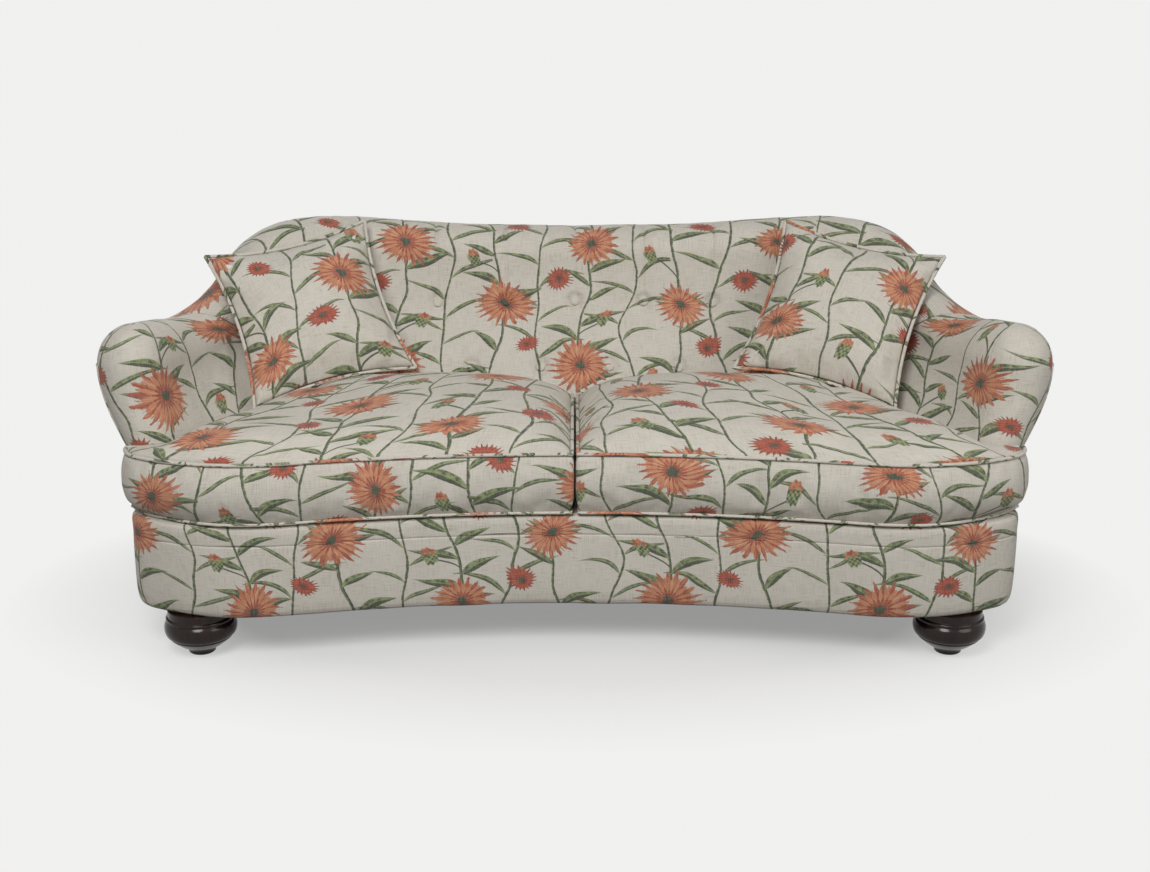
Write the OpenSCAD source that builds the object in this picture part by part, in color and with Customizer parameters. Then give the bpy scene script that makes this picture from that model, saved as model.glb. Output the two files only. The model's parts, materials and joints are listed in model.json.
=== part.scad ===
// Curved sofa with two seat cushions: serpentine front, flared padded arms,
// a button-tufted back with rounded wings, turned bun feet and two scatter cushions.
// Millimetres. X is the viewer's right, Y is the rear, Z is up, the floor is z = 0.

/* [Base outline] */
// Half the width of the upholstered base
base_half_w = 957; // [900:1:1040]
// Y of the front of the base on the centre line
front_mid_y = -378; // [-400:1:-360]
// Y of the rear of the base on the centre line
rear_mid_y = 430; // [410:1:470]
// Radius of the hollow front curve
front_arc_r = 2600; // [2300:10:3200]
// Radius of the swelling at each end of the front
shoulder_r = 420; // [380:1:450]
// How far from the centre line that swelling stands
shoulder_x = 700; // [680:1:720]
// Radius of the front corners
corner_r = 90; // [80:1:100]
// Angle by which the sides close in towards the rear
side_taper = 12; // [8:0.5:14]
// Radius of the rear corners
rear_corner_r = 240; // [200:1:280]
// Radius of the rear curve
rear_arc_r = 2600; // [2300:10:3200]

/* [Heights] */
// Height of the underside of the base, which the feet carry
base_z = 105; // [95:1:125]
// Height of the timber rails
rail_h = 179; // [160:1:190]
// Height of the flat deck under the seat cushions
deck_z = 311; // [308:1:316]
// Height of the lower welt of a seat cushion
seat_low_z = 318; // [316:1:322]
// Height of the boxing between the two welts of a seat cushion
seat_boxing_h = 131; // [110:1:145]
// How far the top of a seat cushion rises over its welt
seat_crown = 52; // [35:1:65]
// How much higher a seat cushion is squeezed where it meets the back
seat_rear_rise = 42; // [10:1:50]

/* [Seat well] */
// Depth of the deck from the front of the base to the back
seat_depth = 510; // [490:1:530]
// Radius of the corner between the back and an arm, at the seat
well_corner_r = 110; // [90:1:130]
// Angle of an arm's inside to the front-to-back line
arm_splay = 31; // [28:0.5:34]
// Distance from the side of the base to the centre of the rounded front of an arm
nose_inset = 52; // [45:1:62]
// Y of that centre
nose_y = -272; // [-285:1:-260]
// Radius of the rounded front of an arm at the seat
nose_r = 47; // [42:1:50]

/* [Roll along the top] */
// Distance from the back of the seat to the ridge at the back centre
ridge_back = 244; // [230:1:256]
// Height of the ridge at the back centre
ridge_z = 819; // [790:1:840]
// Reach of the roll towards the seat at the back centre
roll_in = 80; // [72:1:86]
// Reach of the roll to the rear at the back centre
roll_out = 98.2; // [90:0.1:104]
// Depth of the roll at the front of an arm
roll_drop = 88; // [78:1:94]

/* [Padding] */
// Thickness of the tufted cover and its wadding on the back
back_cover_t = 20; // [17:0.5:24]
// Thickness of the foam on the back
back_foam_t = 36; // [30:1:40]
// Thickness of the cover and its wadding on an arm
arm_cover_t = 10; // [8:0.5:12]
// Thickness of the foam on an arm
arm_foam_t = 34; // [28:1:38]
// Thickness of the outside panels
panel_t = 12; // [8:0.5:14]
// Thickness of the padded border over the front rail
border_t = 21.7; // [16:0.1:24]
// Depth of the dimple under each button
tuft_depth = 13; // [6:0.5:15]
// Clearance between upholstered layers
layer_gap = 0.3; // [0.2:0.05:0.5]

/* [Frame] */
// Thickness of the rails
rail_t = 30; // [24:1:34]
// Sawn lengths that each half of the curved back rail is joined from, end to end
back_rail_lengths = 3; // [2:1:4]
// Thickness of the cross rails
cross_rail_t = 32; // [24:1:40]
// Height of the cross rails
cross_rail_h = 80; // [60:1:110]
// Distance between the cross rails
cross_rail_pitch = 330; // [280:1:380]
// Height of the foot blocks
foot_block_h = 42; // [36:1:50]
// Side of a foot block
foot_block_w = 110; // [96:1:120]
// Thickness of the boards under the arms
arm_board_t = 22; // [18:1:26]

/* [Springs] */
// Number of seat springs on each side of the centre line
springs_a_side = 5; // [3:1:6]
// Distance between the seat springs
spring_pitch = 118; // [100:1:125]
// Thickness of the spring wire
spring_wire = 4; // [3:0.1:5]
// Width of a spring's zigzag
spring_w = 44; // [36:1:50]
// Length of one zigzag
spring_loop = 46; // [40:1:60]

/* [Feet] */
// Widest diameter of the ball of a foot
foot_ball_d = 156; // [130:1:160]
// Diameter of the tip of a foot at the floor
foot_tip_d = 58; // [52:1:70]
// Distance of the front feet from the centre line
foot_front_x = 814; // [790:1:830]
// Y of the front feet
foot_front_y = -377; // [-380:1:-350]
// Distance of the rear feet from the centre line
foot_rear_x = 640; // [600:1:670]
// Y of the rear feet
foot_rear_y = 245; // [220:1:260]
// Diameter of the centre leg
centre_leg_d = 56; // [44:1:70]
// Diameter of the bolts that hold the feet
foot_bolt_d = 8; // [6:0.5:10]

/* [Seat cushions] */
// Gap between the two seat cushions
seat_gap = 3; // [2:0.5:6]
// Clearance between a seat cushion and the arms and back
seat_clear = 5; // [3:0.5:8]
// How far the seat cushions stand proud of the base
seat_proud = 8; // [4:1:12]
// How far the boxing of a seat cushion swells
boxing_swell = 6; // [3:1:9]
// Radius of the piping cord on the cushions
piping_r = 4; // [3:0.25:5]
// How far the foam core lies inside the cover
core_inset = 26; // [20:1:34]

/* [Scatter cushions] */
// Side of a scatter cushion from corner to corner
scatter_side = 386; // [370:1:420]
// Thickness of a scatter cushion at its middle
scatter_t = 112; // [90:1:130]
// How far the sides of a scatter cushion draw in between its corners
scatter_draw = 24; // [12:1:30]

/* [Buttons] */
// Diameter of a button
button_d = 22; // [18:1:26]
// Height of the lower row of buttons
button_low_z = 505; // [490:1:520]
// Height of the upper row of buttons
button_high_z = 650; // [630:1:665]

/* [Hidden] */
$fn = 48;
ridge_y = front_mid_y + seat_depth + ridge_back;

fabric = "#cbc3b5";
timber = "#b98f5e";
foam = "#e8dca8";
felt = "#8f8b84";
steel = "#9aa0a6";
black_cloth = "#2b2a2a";
mahogany = "#2a1a15";

// Small helpers: a mix of two values, a plan direction by its angle from +Y to +X,
// a length of arc as an angle, and lists turned round or mirrored in X.
function mix(a, b, t) = a + (b - a) * t;
function dir(a) = [sin(a), cos(a)];
function turn(length, r) = length / r * 180 / PI;
function arc_len(a, r) = a * PI / 180 * r;
function back_to_front(list) = [for (i = [len(list) - 1:-1:0]) list[i]];
function mirrored(list) = [for (p = back_to_front(list)) [-p[0], p[1]]];
function join(lists) = [for (l = lists) for (p = l) p];
function clamp01(t) = max(0, min(1, t));
function unit(v) = v / norm(v);
function range(a, b, n) = [for (i = [0:n]) mix(a, b, i / n)];

// Rim of the base: tangent arcs from the rear centre round to the front centre.
// rim(s, t) is the point s along it, t inside it.
front_c = [0, front_mid_y - front_arc_r];
shoulder_turn = asin(shoulder_x / (front_arc_r + shoulder_r));
shoulder_c = front_c + (front_arc_r + shoulder_r) * dir(shoulder_turn);
corner_turn = 180 - asin((base_half_w - corner_r - shoulder_c[0]) / (shoulder_r - corner_r));
corner_c = shoulder_c + (shoulder_r - corner_r) * dir(corner_turn);
side_turn = 90 - side_taper;
side_n = dir(side_turn);
side_dir = [side_n[1], -side_n[0]];
rear_c = [0, rear_mid_y - rear_arc_r];
rear_turn = side_turn - acos((side_n * (corner_c - rear_c) + corner_r - rear_corner_r)
    / (rear_arc_r - rear_corner_r));
rear_corner_c = rear_c + (rear_arc_r - rear_corner_r) * dir(rear_turn);
side_len = (corner_c - rear_corner_c) * side_dir;
rim_1 = arc_len(rear_turn, rear_arc_r);
rim_2 = rim_1 + arc_len(side_turn - rear_turn, rear_corner_r);
rim_3 = rim_2 + side_len;
rim_4 = rim_3 + arc_len(corner_turn - side_turn, corner_r);
rim_5 = rim_4 + arc_len(180 + shoulder_turn - corner_turn, shoulder_r);
rim_6 = rim_5 + arc_len(shoulder_turn, front_arc_r);
function rim(s, t = 0) =
    s < rim_1 ? rear_c + (rear_arc_r - t) * dir(turn(s, rear_arc_r)) :
    s < rim_2 ? rear_corner_c
        + (rear_corner_r - t) * dir(rear_turn + turn(s - rim_1, rear_corner_r)) :
    s < rim_3 ? rear_corner_c + (rear_corner_r - t) * side_n + (s - rim_2) * side_dir :
    s < rim_4 ? corner_c + (corner_r - t) * dir(side_turn + turn(s - rim_3, corner_r)) :
    s < rim_5 ? shoulder_c + (shoulder_r - t) * dir(corner_turn + turn(s - rim_4, shoulder_r)) :
    front_c + (front_arc_r + t) * dir(max(0, turn(rim_6 - s, front_arc_r)));

least_step = 2;
function stops(a, b) = let (inner = [for (s = rim_stops) if (s > a + least_step && s < b - least_step) s])
    concat([a], [for (i = [0:len(inner) - 1]) if (i == 0 || inner[i] > inner[i - 1] + least_step) inner[i]],
        [b]);
function rim_line(a, b, t) = [for (s = stops(a, b)) rim(s, t)];

// The seat well: back curve concentric with the front, a corner, the straight inside
// of the arm, then the rounded front of the arm. well(s, t) is t in from it.
well_r = front_arc_r + seat_depth;
splay_turn = 90 - arm_splay;
splay_n = dir(splay_turn);
splay_dir = [splay_n[1], -splay_n[0]];
nose_x = base_half_w - nose_inset;
nose_c = [nose_x, nose_y];
well_end = nose_c - nose_r * splay_n;
well_turn = splay_turn - acos((splay_n * (well_end - front_c) - well_corner_r)
    / (well_r - well_corner_r));
well_corner_c = front_c + (well_r - well_corner_r) * dir(well_turn);
well_1 = arc_len(well_turn, well_r);
well_2 = well_1 + arc_len(splay_turn - well_turn, well_corner_r);
well_3 = well_2 + (well_end - well_corner_c) * splay_dir;
function well(s, t = 0) =
    s < well_1 ? front_c + (well_r - t) * dir(turn(s, well_r)) :
    s < well_2 ? well_corner_c + (well_corner_r - t) * dir(well_turn + turn(s - well_1, well_corner_r)) :
    s < well_3 ? well_corner_c + (well_corner_r - t) * splay_n + (s - well_2) * splay_dir :
    nose_c + (nose_r + t) * dir(180 + splay_turn - turn(s - well_3, nose_r));
// The place on the front corner of the rim that is at y
function corner_at(y, t) = rim_3 + arc_len(acos((y - corner_c[1]) / (corner_r - t)) - side_turn, corner_r);
// One half of an area that fills the well and reaches t_front inside the rim, t_well
// clear of the arms and back, and x0 from the centre line, from front to rear.
function half_area(t_front, t_well, x0) = let (
    horn_s = corner_at(nose_y - nose_r - t_well, t_front),
    nose_step = arc_len((180 + splay_turn - nose_feet_end) / arm_nose_n, nose_r),
    nose_run = arc_len(splay_turn, nose_r)
) concat(
    [rim(rim_6 - max(x0, 0.001), t_front)],
    [for (s = back_to_front(stops(horn_s, rim_6))) if (s < rim_6 - 20) rim(s, t_front)],
    [for (s = [nose_run, nose_step * 2, nose_step]) well(well_3 + s, t_well)],
    [for (s = back_to_front(well_stops)) if (s > x0 + 1) well(s, t_well)],
    [well(max(x0, 0.001), t_well)]
);
function whole_area(t_front, t_well) = let (half = half_area(t_front, t_well, 0))
    concat([[0, half[0][1]]], [for (i = [1:len(half) - 2]) half[i]], [[0, half[len(half) - 1][1]]],
        [for (i = [len(half) - 2:-1:1]) [-half[i][0], half[i][1]]]);

// Stations of the arms and back, numbered from the back centre (0) to the arm front (14).
// Ridge of the rolled top: share of the half width, share of the way from the arm front to the
// ridge at the back centre, and share of its height there.
ridge_shares = [[0, 1, 1], [0.1358, 0.99537, 1.0024], [0.2717, 0.98302, 1.0073], [0.4075, 0.96451, 1.0195],
    [0.5434, 0.93673, 1.033], [0.6479, 0.90123, 1.0403], [0.7377, 0.85802, 1.0293], [0.7983, 0.81173, 1.0012],
    [0.8328, 0.74691, 0.9573], [0.8527, 0.66975, 0.9011], [0.8809, 0.5787, 0.8571], [0.9133, 0.46914, 0.8315],
    [0.9467, 0.34259, 0.823], [0.9739, 0.21914, 0.8364], [0.9979, 0.09568, 0.8486]];
ridge_keys = [for (k = ridge_shares) [k[0] * base_half_w, mix(nose_y, ridge_y, k[1]), k[2] * ridge_z]];
// Length along the seat well of each station's foot inside, as shares of the whole.
well_keys = well_3 * [0, 0.118, 0.2361, 0.3513, 0.4609, 0.548, 0.607, 0.6464, 0.6698,
    0.6979, 0.74, 0.7962, 0.8618, 0.9321];
// Length along the rim of each station's foot outside: shares up to the end of the rear corner,
// then along the side.
rim_keys = concat(rim_2 * [0, 0.136, 0.274, 0.41, 0.5386, 0.6589, 0.7614, 0.8367, 0.8974, 0.9539, 1],
    [for (k = [0.188, 0.3677, 0.5474, 0.7271]) mix(rim_2, rim_3, k)]);
// Plan direction of the roll on its inner and outer side.
turn_in_keys = [0, 2.5, 5, 7.5, 10, 15, 26, 38, 46, 51, 54, 56, 58, 59, 59];
turn_out_keys = [0, 3, 6, 8.5, 11, 15, 25, 37, 48, 58, 66, 71, 75, 77, 78];
// Reach of the roll from the ridge to its inner and outer side, as shares of the widest.
reach_in_keys = roll_in * [1, 1, 1, 1, 1, 1.025, 1.025, 0.95, 0.85, 0.75, 0.75, 0.8, 0.85, 0.863, 0.85];
reach_out_keys = roll_out * [1, 0.988, 0.978, 0.957, 0.916, 0.896, 0.896, 0.896, 0.896, 0.896, 0.896,
    0.886, 0.876, 0.876, 0.866];
// Depth of the roll from the ridge to its inner and outer side, likewise.
drop_in_keys = roll_drop * [0.773, 0.773, 0.784, 0.795, 0.818, 0.841, 0.864, 0.886, 0.909, 0.909,
    0.909, 0.932, 0.955, 0.977, 1];
drop_out_keys = roll_drop * [0.75, 0.75, 0.761, 0.773, 0.795, 0.841, 0.886, 0.932, 0.977, 1, 1, 1, 1, 1, 1];
last = len(ridge_keys) - 1;
// Station where arm and back meet: on the ridge and outside, and lower down inside,
// where the seam curves back. junction_at(w) follows it up a column (see on()).
junction = 11.6;
junction_in = 9.5;
function junction_at(w) = mix(junction_in, junction, pow(clamp01((w - 0.8) / 1.2), 0.9));

// A smooth curve through keys, at station u; the back centre mirrors it.
function ghost(k) = concat([is_list(k[0]) ? [-k[1][0], k[1][1], k[1][2]] : k[1]], k,
    [2 * k[len(k) - 1] - k[len(k) - 2]]);
function spline(k, u) = let (i = min(floor(u), len(k) - 4), t = u - i,
    a = k[i], b = k[i + 1], c = k[i + 2], d = k[i + 3])
    0.5 * (2 * b + (c - a) * t + (2 * a - 5 * b + 4 * c - d) * t * t
        + (3 * b - a - 3 * c + d) * t * t * t);
ridge_g = ghost(ridge_keys);
well_g = concat([-well_keys[1]], well_keys, [well_3, well_3 + 80]);
rim_g = concat([-rim_keys[1]], rim_keys, [2 * rim_keys[last] - rim_keys[last - 1]]);
turn_in_g = concat([-turn_in_keys[1]], turn_in_keys, [turn_in_keys[last]]);
turn_out_g = concat([-turn_out_keys[1]], turn_out_keys, [turn_out_keys[last]]);
reach_in_g = ghost(reach_in_keys);
reach_out_g = ghost(reach_out_keys);
drop_in_g = ghost(drop_in_keys);
drop_out_g = ghost(drop_out_keys);

// Heights of the rails and of the layers on them, and where the inside and outside
// faces start to lean.
rail_z0 = base_z + 2;
rail_z1 = rail_z0 + rail_h;
clip_z1 = rail_z1 + layer_gap + spring_wire + 1.2;
shell_z = clip_z1 + layer_gap;
lean_in_z = 400;
lean_out_z = 380;
lean_out_back_z = 320;
lean_power = 1.2;

// A column of the surface: [ridge, side of the roll in plan, its height, foot in plan,
// height where it leans, lowest height]. t is how deep inside the skin it runs.
function in_column(u, t) = let (r = spline(ridge_g, u), d = dir(spline(turn_in_g, u)))
    [r - [0, 0, t], [r[0], r[1]] - (spline(reach_in_g, u) - t) * d,
        r[2] - spline(drop_in_g, u), well(min(spline(well_g, u), well_3 - 0.001), -t),
        lean_in_z, shell_z];
function out_column(u, t) = let (r = spline(ridge_g, u), d = dir(spline(turn_out_g, u)))
    [r - [0, 0, t], [r[0], r[1]] + (spline(reach_out_g, u) - t) * d,
        r[2] - spline(drop_out_g, u), rim(spline(rim_g, u), t),
        mix(lean_out_back_z, lean_out_z, clamp01(u / last)), shell_z];
// Round the front of the arm: v runs from the inner face (0) to the seam (1).
seam_turn = 115;
seam_rim = rim_keys[last] + 95;
nose_feet_end = 92;
function nose_column(v, t) = let (r = ridge_keys[last],
    a = mix(180 + turn_in_keys[last], seam_turn, v), b = mix(180 + splay_turn, nose_feet_end, v),
    reach = mix(reach_in_keys[last], reach_out_keys[last], clamp01(v * 2)))
    [r - [0, 0, t], [r[0], r[1]] + (reach - t) * dir(a), r[2] - drop_out_keys[last],
        nose_c + (nose_r - t) * dir(b), mix(lean_in_z, lean_out_z, v), shell_z];
// From the seam (0) round to the outer side of the arm (1); the panel below the roll
// starts a little past the seam.
function fan_column(v, t, past = 0) = let (r = ridge_keys[last],
    a = mix(seam_turn - past, turn_out_keys[last], v))
    [r - [0, 0, t], [r[0], r[1]] + (reach_out_keys[last] - t) * dir(a), r[2] - drop_out_keys[last],
        rim(mix(seam_rim - 6 * past, rim_keys[last], v), t), lean_out_z, shell_z];

// Point of a column at w: below 0 the upright foot, 0 to 1 the leaning face, 1 to 2 the roll.
function on(c, w) =
    w < 0 ? [c[3][0], c[3][1], mix(c[4], c[5], -w)] :
    w <= 1 ? let (g = pow(sin(90 * w), lean_power), p = mix(c[3], c[1], g))
        [p[0], p[1], mix(c[4], c[2], w)] :
    let (a = (w - 1) * 90, r = [c[0][0], c[0][1]], p = r + (c[1] - r) * cos(a))
        [p[0], p[1], c[2] + (c[0][2] - c[2]) * sin(a)];
// Station, at w, of the column that is u along the ridge: the inside of the arm and the
// end of the back are drawn out to their slanted seam.
seam_from = 8;
function arm_u(u, w) = mix(junction_at(w), last, (u - junction) / (last - junction));
function back_u(u, w, apart) = u <= seam_from ? u :
    mix(seam_from, junction_at(w) - apart, (u - seam_from) / (junction - seam_from));

// Stations of the columns: along the ridge of an arm from the junction, and along half of
// the back. An arm's columns go on in steps round its front and then round to its side.
arm_inner_n = 5;
arm_nose_n = 7;
arm_fan_n = 2;
arm_us = range(junction, last, arm_inner_n);
back_end_us = [5, 6, 7, seam_from, 9, 10, 10.8, junction];
function with_left(half) = concat([for (i = [len(half) - 1:-1:1]) -half[i]], half);
back_half_us = concat([0, 1, 2, 3, 4], back_end_us);
back_coarse_us = with_left(back_half_us);

// Places along the rim where its polygons have corners: at the columns of the outside
// panels, then close together on the tight front corners.
rim_stops = join([[for (u = back_half_us) spline(rim_g, u)], [for (u = arm_us) spline(rim_g, u)],
    range(rim_keys[last], seam_rim, arm_fan_n), range(rim_3, rim_4, 6), range(rim_4, rim_5, 7),
    range(rim_5, rim_6, 6)]);
well_stops = concat([for (u = back_half_us) if (u < junction) spline(well_g, back_u(u, 0, 0))],
    [for (u = arm_us) min(well_3, spline(well_g, arm_u(u, 0)))]);

// A closed sheet between two grids of points of the same size.
module sheet_between(outer, inner) {
    m = len(outer);
    n = len(outer[0]);
    points = concat(join(outer), join(inner));
    function at(i, j) = i * n + j;
    inside = m * n;
    faces = concat(
        [for (i = [0:m - 2]) for (j = [0:n - 2])
            for (f = [[at(i, j), at(i, j + 1), at(i + 1, j + 1)],
                [at(i, j), at(i + 1, j + 1), at(i + 1, j)]]) f],
        [for (i = [0:m - 2]) for (j = [0:n - 2])
            for (f = [[at(i, j), at(i + 1, j + 1), at(i, j + 1)],
                [at(i, j), at(i + 1, j), at(i + 1, j + 1)]]) f + [inside, inside, inside]],
        [for (i = [0:m - 2]) for (f = wall(at(i, 0), at(i + 1, 0), inside)) f],
        [for (i = [0:m - 2]) for (f = wall(at(i + 1, n - 1), at(i, n - 1), inside)) f],
        [for (j = [0:n - 2]) for (f = start_wall(at(0, j + 1), at(0, j), inside)) f],
        [for (j = [0:n - 2]) for (f = wall(at(m - 1, j), at(m - 1, j + 1), inside)) f]);
    polyhedron(points = points, faces = faces);
}
function wall(a, b, inside) = [[a, b, b + inside], [a, b + inside, a + inside]];
function start_wall(a, b, inside) = [[a, b, a + inside], [b, b + inside, a + inside]];

// The skin of an arm as a closed sheet: columns run along the inner face from the
// junction, round the front, and back along the outer side, where the sheet starts at
// row low. Both ends meet along the ridge, so their top points are shared.
module arm_sheet(outer, inner, first_out, low) {
    m = len(outer);
    top = len(outer[0]) - 1;
    inside = m * top + m;
    along = arm_inner_n;
    function shared(i) = i <= along ? i : i <= m - 1 - along ? along : m - 1 - i;
    function at(i, j) = j == top ? m * top + shared(i) : i * top + j;
    points = concat(
        [for (c = outer) for (j = [0:top - 1]) c[j]], [for (c = outer) c[top]],
        [for (c = inner) for (j = [0:top - 1]) c[j]], [for (c = inner) c[top]]);
    function from(i) = i < first_out ? 0 : low;
    faces = concat(
        [for (i = [0:m - 2]) for (j = [from(i):top - 1]) for (f = concat(
            [[at(i, j), at(i, j + 1), at(i + 1, j + 1)], [at(i, j), at(i + 1, j + 1), at(i + 1, j)]],
            [[inside + at(i, j), inside + at(i + 1, j + 1), inside + at(i, j + 1)],
                [inside + at(i, j), inside + at(i + 1, j), inside + at(i + 1, j + 1)]])) f],
        [for (i = [0:m - 2]) for (f = wall(at(i, from(i)), at(i + 1, from(i)), inside)) f],
        [for (j = [0:top - 1]) for (f = start_wall(at(0, j + 1), at(0, j), inside)) f],
        [for (j = [low:top - 1]) for (f = wall(at(m - 1, j), at(m - 1, j + 1), inside)) f],
        [for (j = [0:low - 1]) for (f = wall(at(first_out, j), at(first_out, j + 1), inside)) f]);
    polyhedron(points = points, faces = [for (f = faces)
        if (f[0] != f[1] && f[1] != f[2] && f[0] != f[2]) f]);
}

// A tube round a closed path that rises and falls little, its sections upright.
module loop_tube(path, r, sides) {
    n = len(path);
    points = [for (i = [0:n - 1]) let (d = path[(i + 1) % n] - path[(i + n - 1) % n],
        out = unit([d[1], -d[0]])) for (k = [0:sides - 1]) let (a = 360 * (k + 0.5) / sides)
        path[i] + r * [out[0] * cos(a), out[1] * cos(a), sin(a)]];
    faces = [for (i = [0:n - 1]) for (k = [0:sides - 1]) let (
        a = i * sides + k, b = i * sides + (k + 1) % sides,
        c = ((i + 1) % n) * sides + (k + 1) % sides, d = ((i + 1) % n) * sides + k)
        for (f = [[a, b, c], [a, c, d]]) f];
    polyhedron(points = points, faces = faces);
}

// A closed body of rings, each a list of as many points, between two poles.
module ringed(rings, low_pole, high_pole) {
    n = len(rings[0]);
    m = len(rings);
    points = concat(join(rings), [low_pole, high_pole]);
    faces = concat(
        [for (j = [0:m - 2]) for (i = [0:n - 1]) let (k = (i + 1) % n)
            for (f = [[j * n + i, (j + 1) * n + k, j * n + k],
                [j * n + i, (j + 1) * n + i, (j + 1) * n + k]]) f],
        [for (i = [0:n - 1]) [m * n, i, (i + 1) % n]],
        [for (i = [0:n - 1]) [m * n + 1, (m - 1) * n + (i + 1) % n, (m - 1) * n + i]]);
    polyhedron(points = points, faces = faces);
}

module prism(points, z0, z1) {
    translate([0, 0, z0]) linear_extrude(height = z1 - z0) polygon(points);
}
module left() { mirror([1, 0, 0]) children(); }
module both_sides() {
    children();
    left() children();
}

// Timber frame of the base
rail_out = border_t + layer_gap;
rail_in = rail_out + rail_t;
function left_of(line) = [for (p = mirrored(line)) if (p[0] < -0.1) p];
module front_rail() {
    outer = rim_line(rim_3, rim_6, rail_out);
    inner = rim_line(rim_3, rim_6, rail_in);
    color(timber) prism(concat(outer, left_of(outer), back_to_front(left_of(inner)), back_to_front(inner)),
        rail_z0, rail_z1);
}
module back_rail() {
    outer = rim_line(0, rim_2, rail_out);
    inner = rim_line(0, rim_2, rail_in);
    color(timber) difference() {
        prism(concat(left_of(outer), outer, back_to_front(inner), back_to_front(left_of(inner))),
            rail_z0, rail_z1);
        both_sides() for (k = [0:back_rail_lengths - 1]) rail_joint(k * rim_2 / back_rail_lengths);
    }
}
// Glue line across the back rail, half a clearance each way; at the middle the mirrored half completes it.
module rail_joint(s) {
    a = max(0, s - layer_gap / 2);
    b = s + layer_gap / 2;
    prism([rim(a, rail_out - 4), rim(b, rail_out - 4), rim(b, rail_in + 4), rim(a, rail_in + 4)],
        rail_z0 - 1, rail_z1 + 1);
}
module side_rail_right() {
    color(timber) prism(concat(rim_line(rim_2, rim_3, rail_out),
        back_to_front(rim_line(rim_2, rim_3, rail_in))), rail_z0, rail_z1);
}
module side_rail_left() { left() side_rail_right(); }

// Area inside the rails, which blocks, boards and cross rails are cut to.
inner_gap = 0.2;
function inside_rails(t) = let (half = rim_line(0, rim_6, rail_in + t)) concat(half, left_of(half));
module cut_to_rails(z0, z1) {
    intersection() {
        prism(inside_rails(inner_gap), z0, z1);
        children();
    }
}
module cross_rails() {
    color(timber) difference() {
        for (i = [-1:1])
            cut_to_rails(rail_z0, rail_z0 + cross_rail_h)
                translate([i * cross_rail_pitch - cross_rail_t / 2, front_mid_y - 100, rail_z0])
                    cube([cross_rail_t, rear_mid_y - front_mid_y + 100, cross_rail_h]);
        translate([0, 0, rail_z0 - 1]) cylinder(r = bolt_hole_r, h = bolt_in + 1.5);
    }
}

// Feet, their blocks and fastenings
feet = [[foot_front_x, foot_front_y], [-foot_front_x, foot_front_y],
    [foot_rear_x, foot_rear_y], [-foot_rear_x, foot_rear_y]];
bolt_places = concat(feet, [[0, 0]]);
bolt_hole_r = foot_bolt_d / 2 + 0.2;
nut_r = foot_bolt_d / 2 + 1.6;
nut_h = 12;
block_z1 = rail_z0 + foot_block_h;
module foot_blocks() {
    color(timber) difference() {
        for (p = feet)
            cut_to_rails(rail_z0, block_z1)
                translate([p[0] - foot_block_w / 2, p[1] - foot_block_w / 2, rail_z0])
                    cube([foot_block_w, foot_block_w, foot_block_h]);
        for (p = feet) translate([p[0], p[1], rail_z0 - 1]) cylinder(r = nut_r + 0.2, h = foot_block_h + 2);
    }
}
module tee_nuts() {
    color(steel) for (p = feet) translate([p[0], p[1], block_z1]) difference() {
        union() {
            translate([0, 0, -nut_h]) cylinder(r = nut_r, h = nut_h);
            translate([0, 0, layer_gap]) cylinder(r = nut_r + 6, h = 1.6);
            translate([0, 0, -0.1]) cylinder(r = nut_r, h = layer_gap + 0.2);
        }
        translate([0, 0, -nut_h - 1]) cylinder(r = foot_bolt_d / 2 + 0.05, h = nut_h + 4);
    }
}
bolt_z0 = base_z - 40;
bolt_in = 40;
module foot_bolts() {
    color(steel) {
        for (p = feet) translate([p[0], p[1], bolt_z0]) cylinder(r = foot_bolt_d / 2, h = block_z1 - bolt_z0);
        translate([0, 0, bolt_z0]) cylinder(r = foot_bolt_d / 2, h = rail_z0 + bolt_in - bolt_z0);
    }
}
glide_r = 15;
glide_h = 3;
module glides() {
    color("#d8d4cc") for (p = bolt_places) translate([p[0], p[1], 0]) cylinder(r = glide_r, h = glide_h);
}

// Turned foot: tip, ring, ball and neck rings under the rail.
ball_r = foot_ball_d / 2;
tip_r = foot_tip_d / 2;
module foot() {
    color(mahogany) difference() {
        rotate_extrude() union() {
            polygon([[0, 1], [tip_r - 3, 1], [tip_r, 4], [tip_r + 1, 8], [tip_r + 8, 10], [tip_r + 10, 13],
                [tip_r + 8, 16], [ball_r * 0.61, 18], [ball_r * 0.755, 27], [ball_r * 0.875, 36],
                [ball_r * 0.965, 46], [ball_r, 55], [ball_r * 0.975, 63], [ball_r * 0.93, 66], [ball_r * 0.955, 69],
                [ball_r * 0.955, 73], [ball_r * 0.91, 76], [ball_r * 0.94, 79], [ball_r * 0.94, 84],
                [ball_r * 0.89, 87], [ball_r * 0.89, base_z], [0, base_z]]);
        }
        translate([0, 0, bolt_z0 - 4]) cylinder(r = bolt_hole_r, h = base_z);
        translate([0, 0, -1]) cylinder(r = glide_r + 0.2, h = glide_h + 1 + 0.2);
    }
}
module foot_front_right() { translate([foot_front_x, foot_front_y, 0]) foot(); }
module foot_front_left() { left() foot_front_right(); }
module foot_rear_right() { translate([foot_rear_x, foot_rear_y, 0]) foot(); }
module foot_rear_left() { left() foot_rear_right(); }
module centre_leg() {
    color(mahogany) difference() {
        cylinder(r1 = centre_leg_d / 2 - 6, r2 = centre_leg_d / 2, h = base_z);
        translate([0, 0, bolt_z0 - 4]) cylinder(r = bolt_hole_r, h = base_z);
        translate([0, 0, -1]) cylinder(r = glide_r + 0.2, h = glide_h + 1 + 0.2);
    }
}

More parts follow.
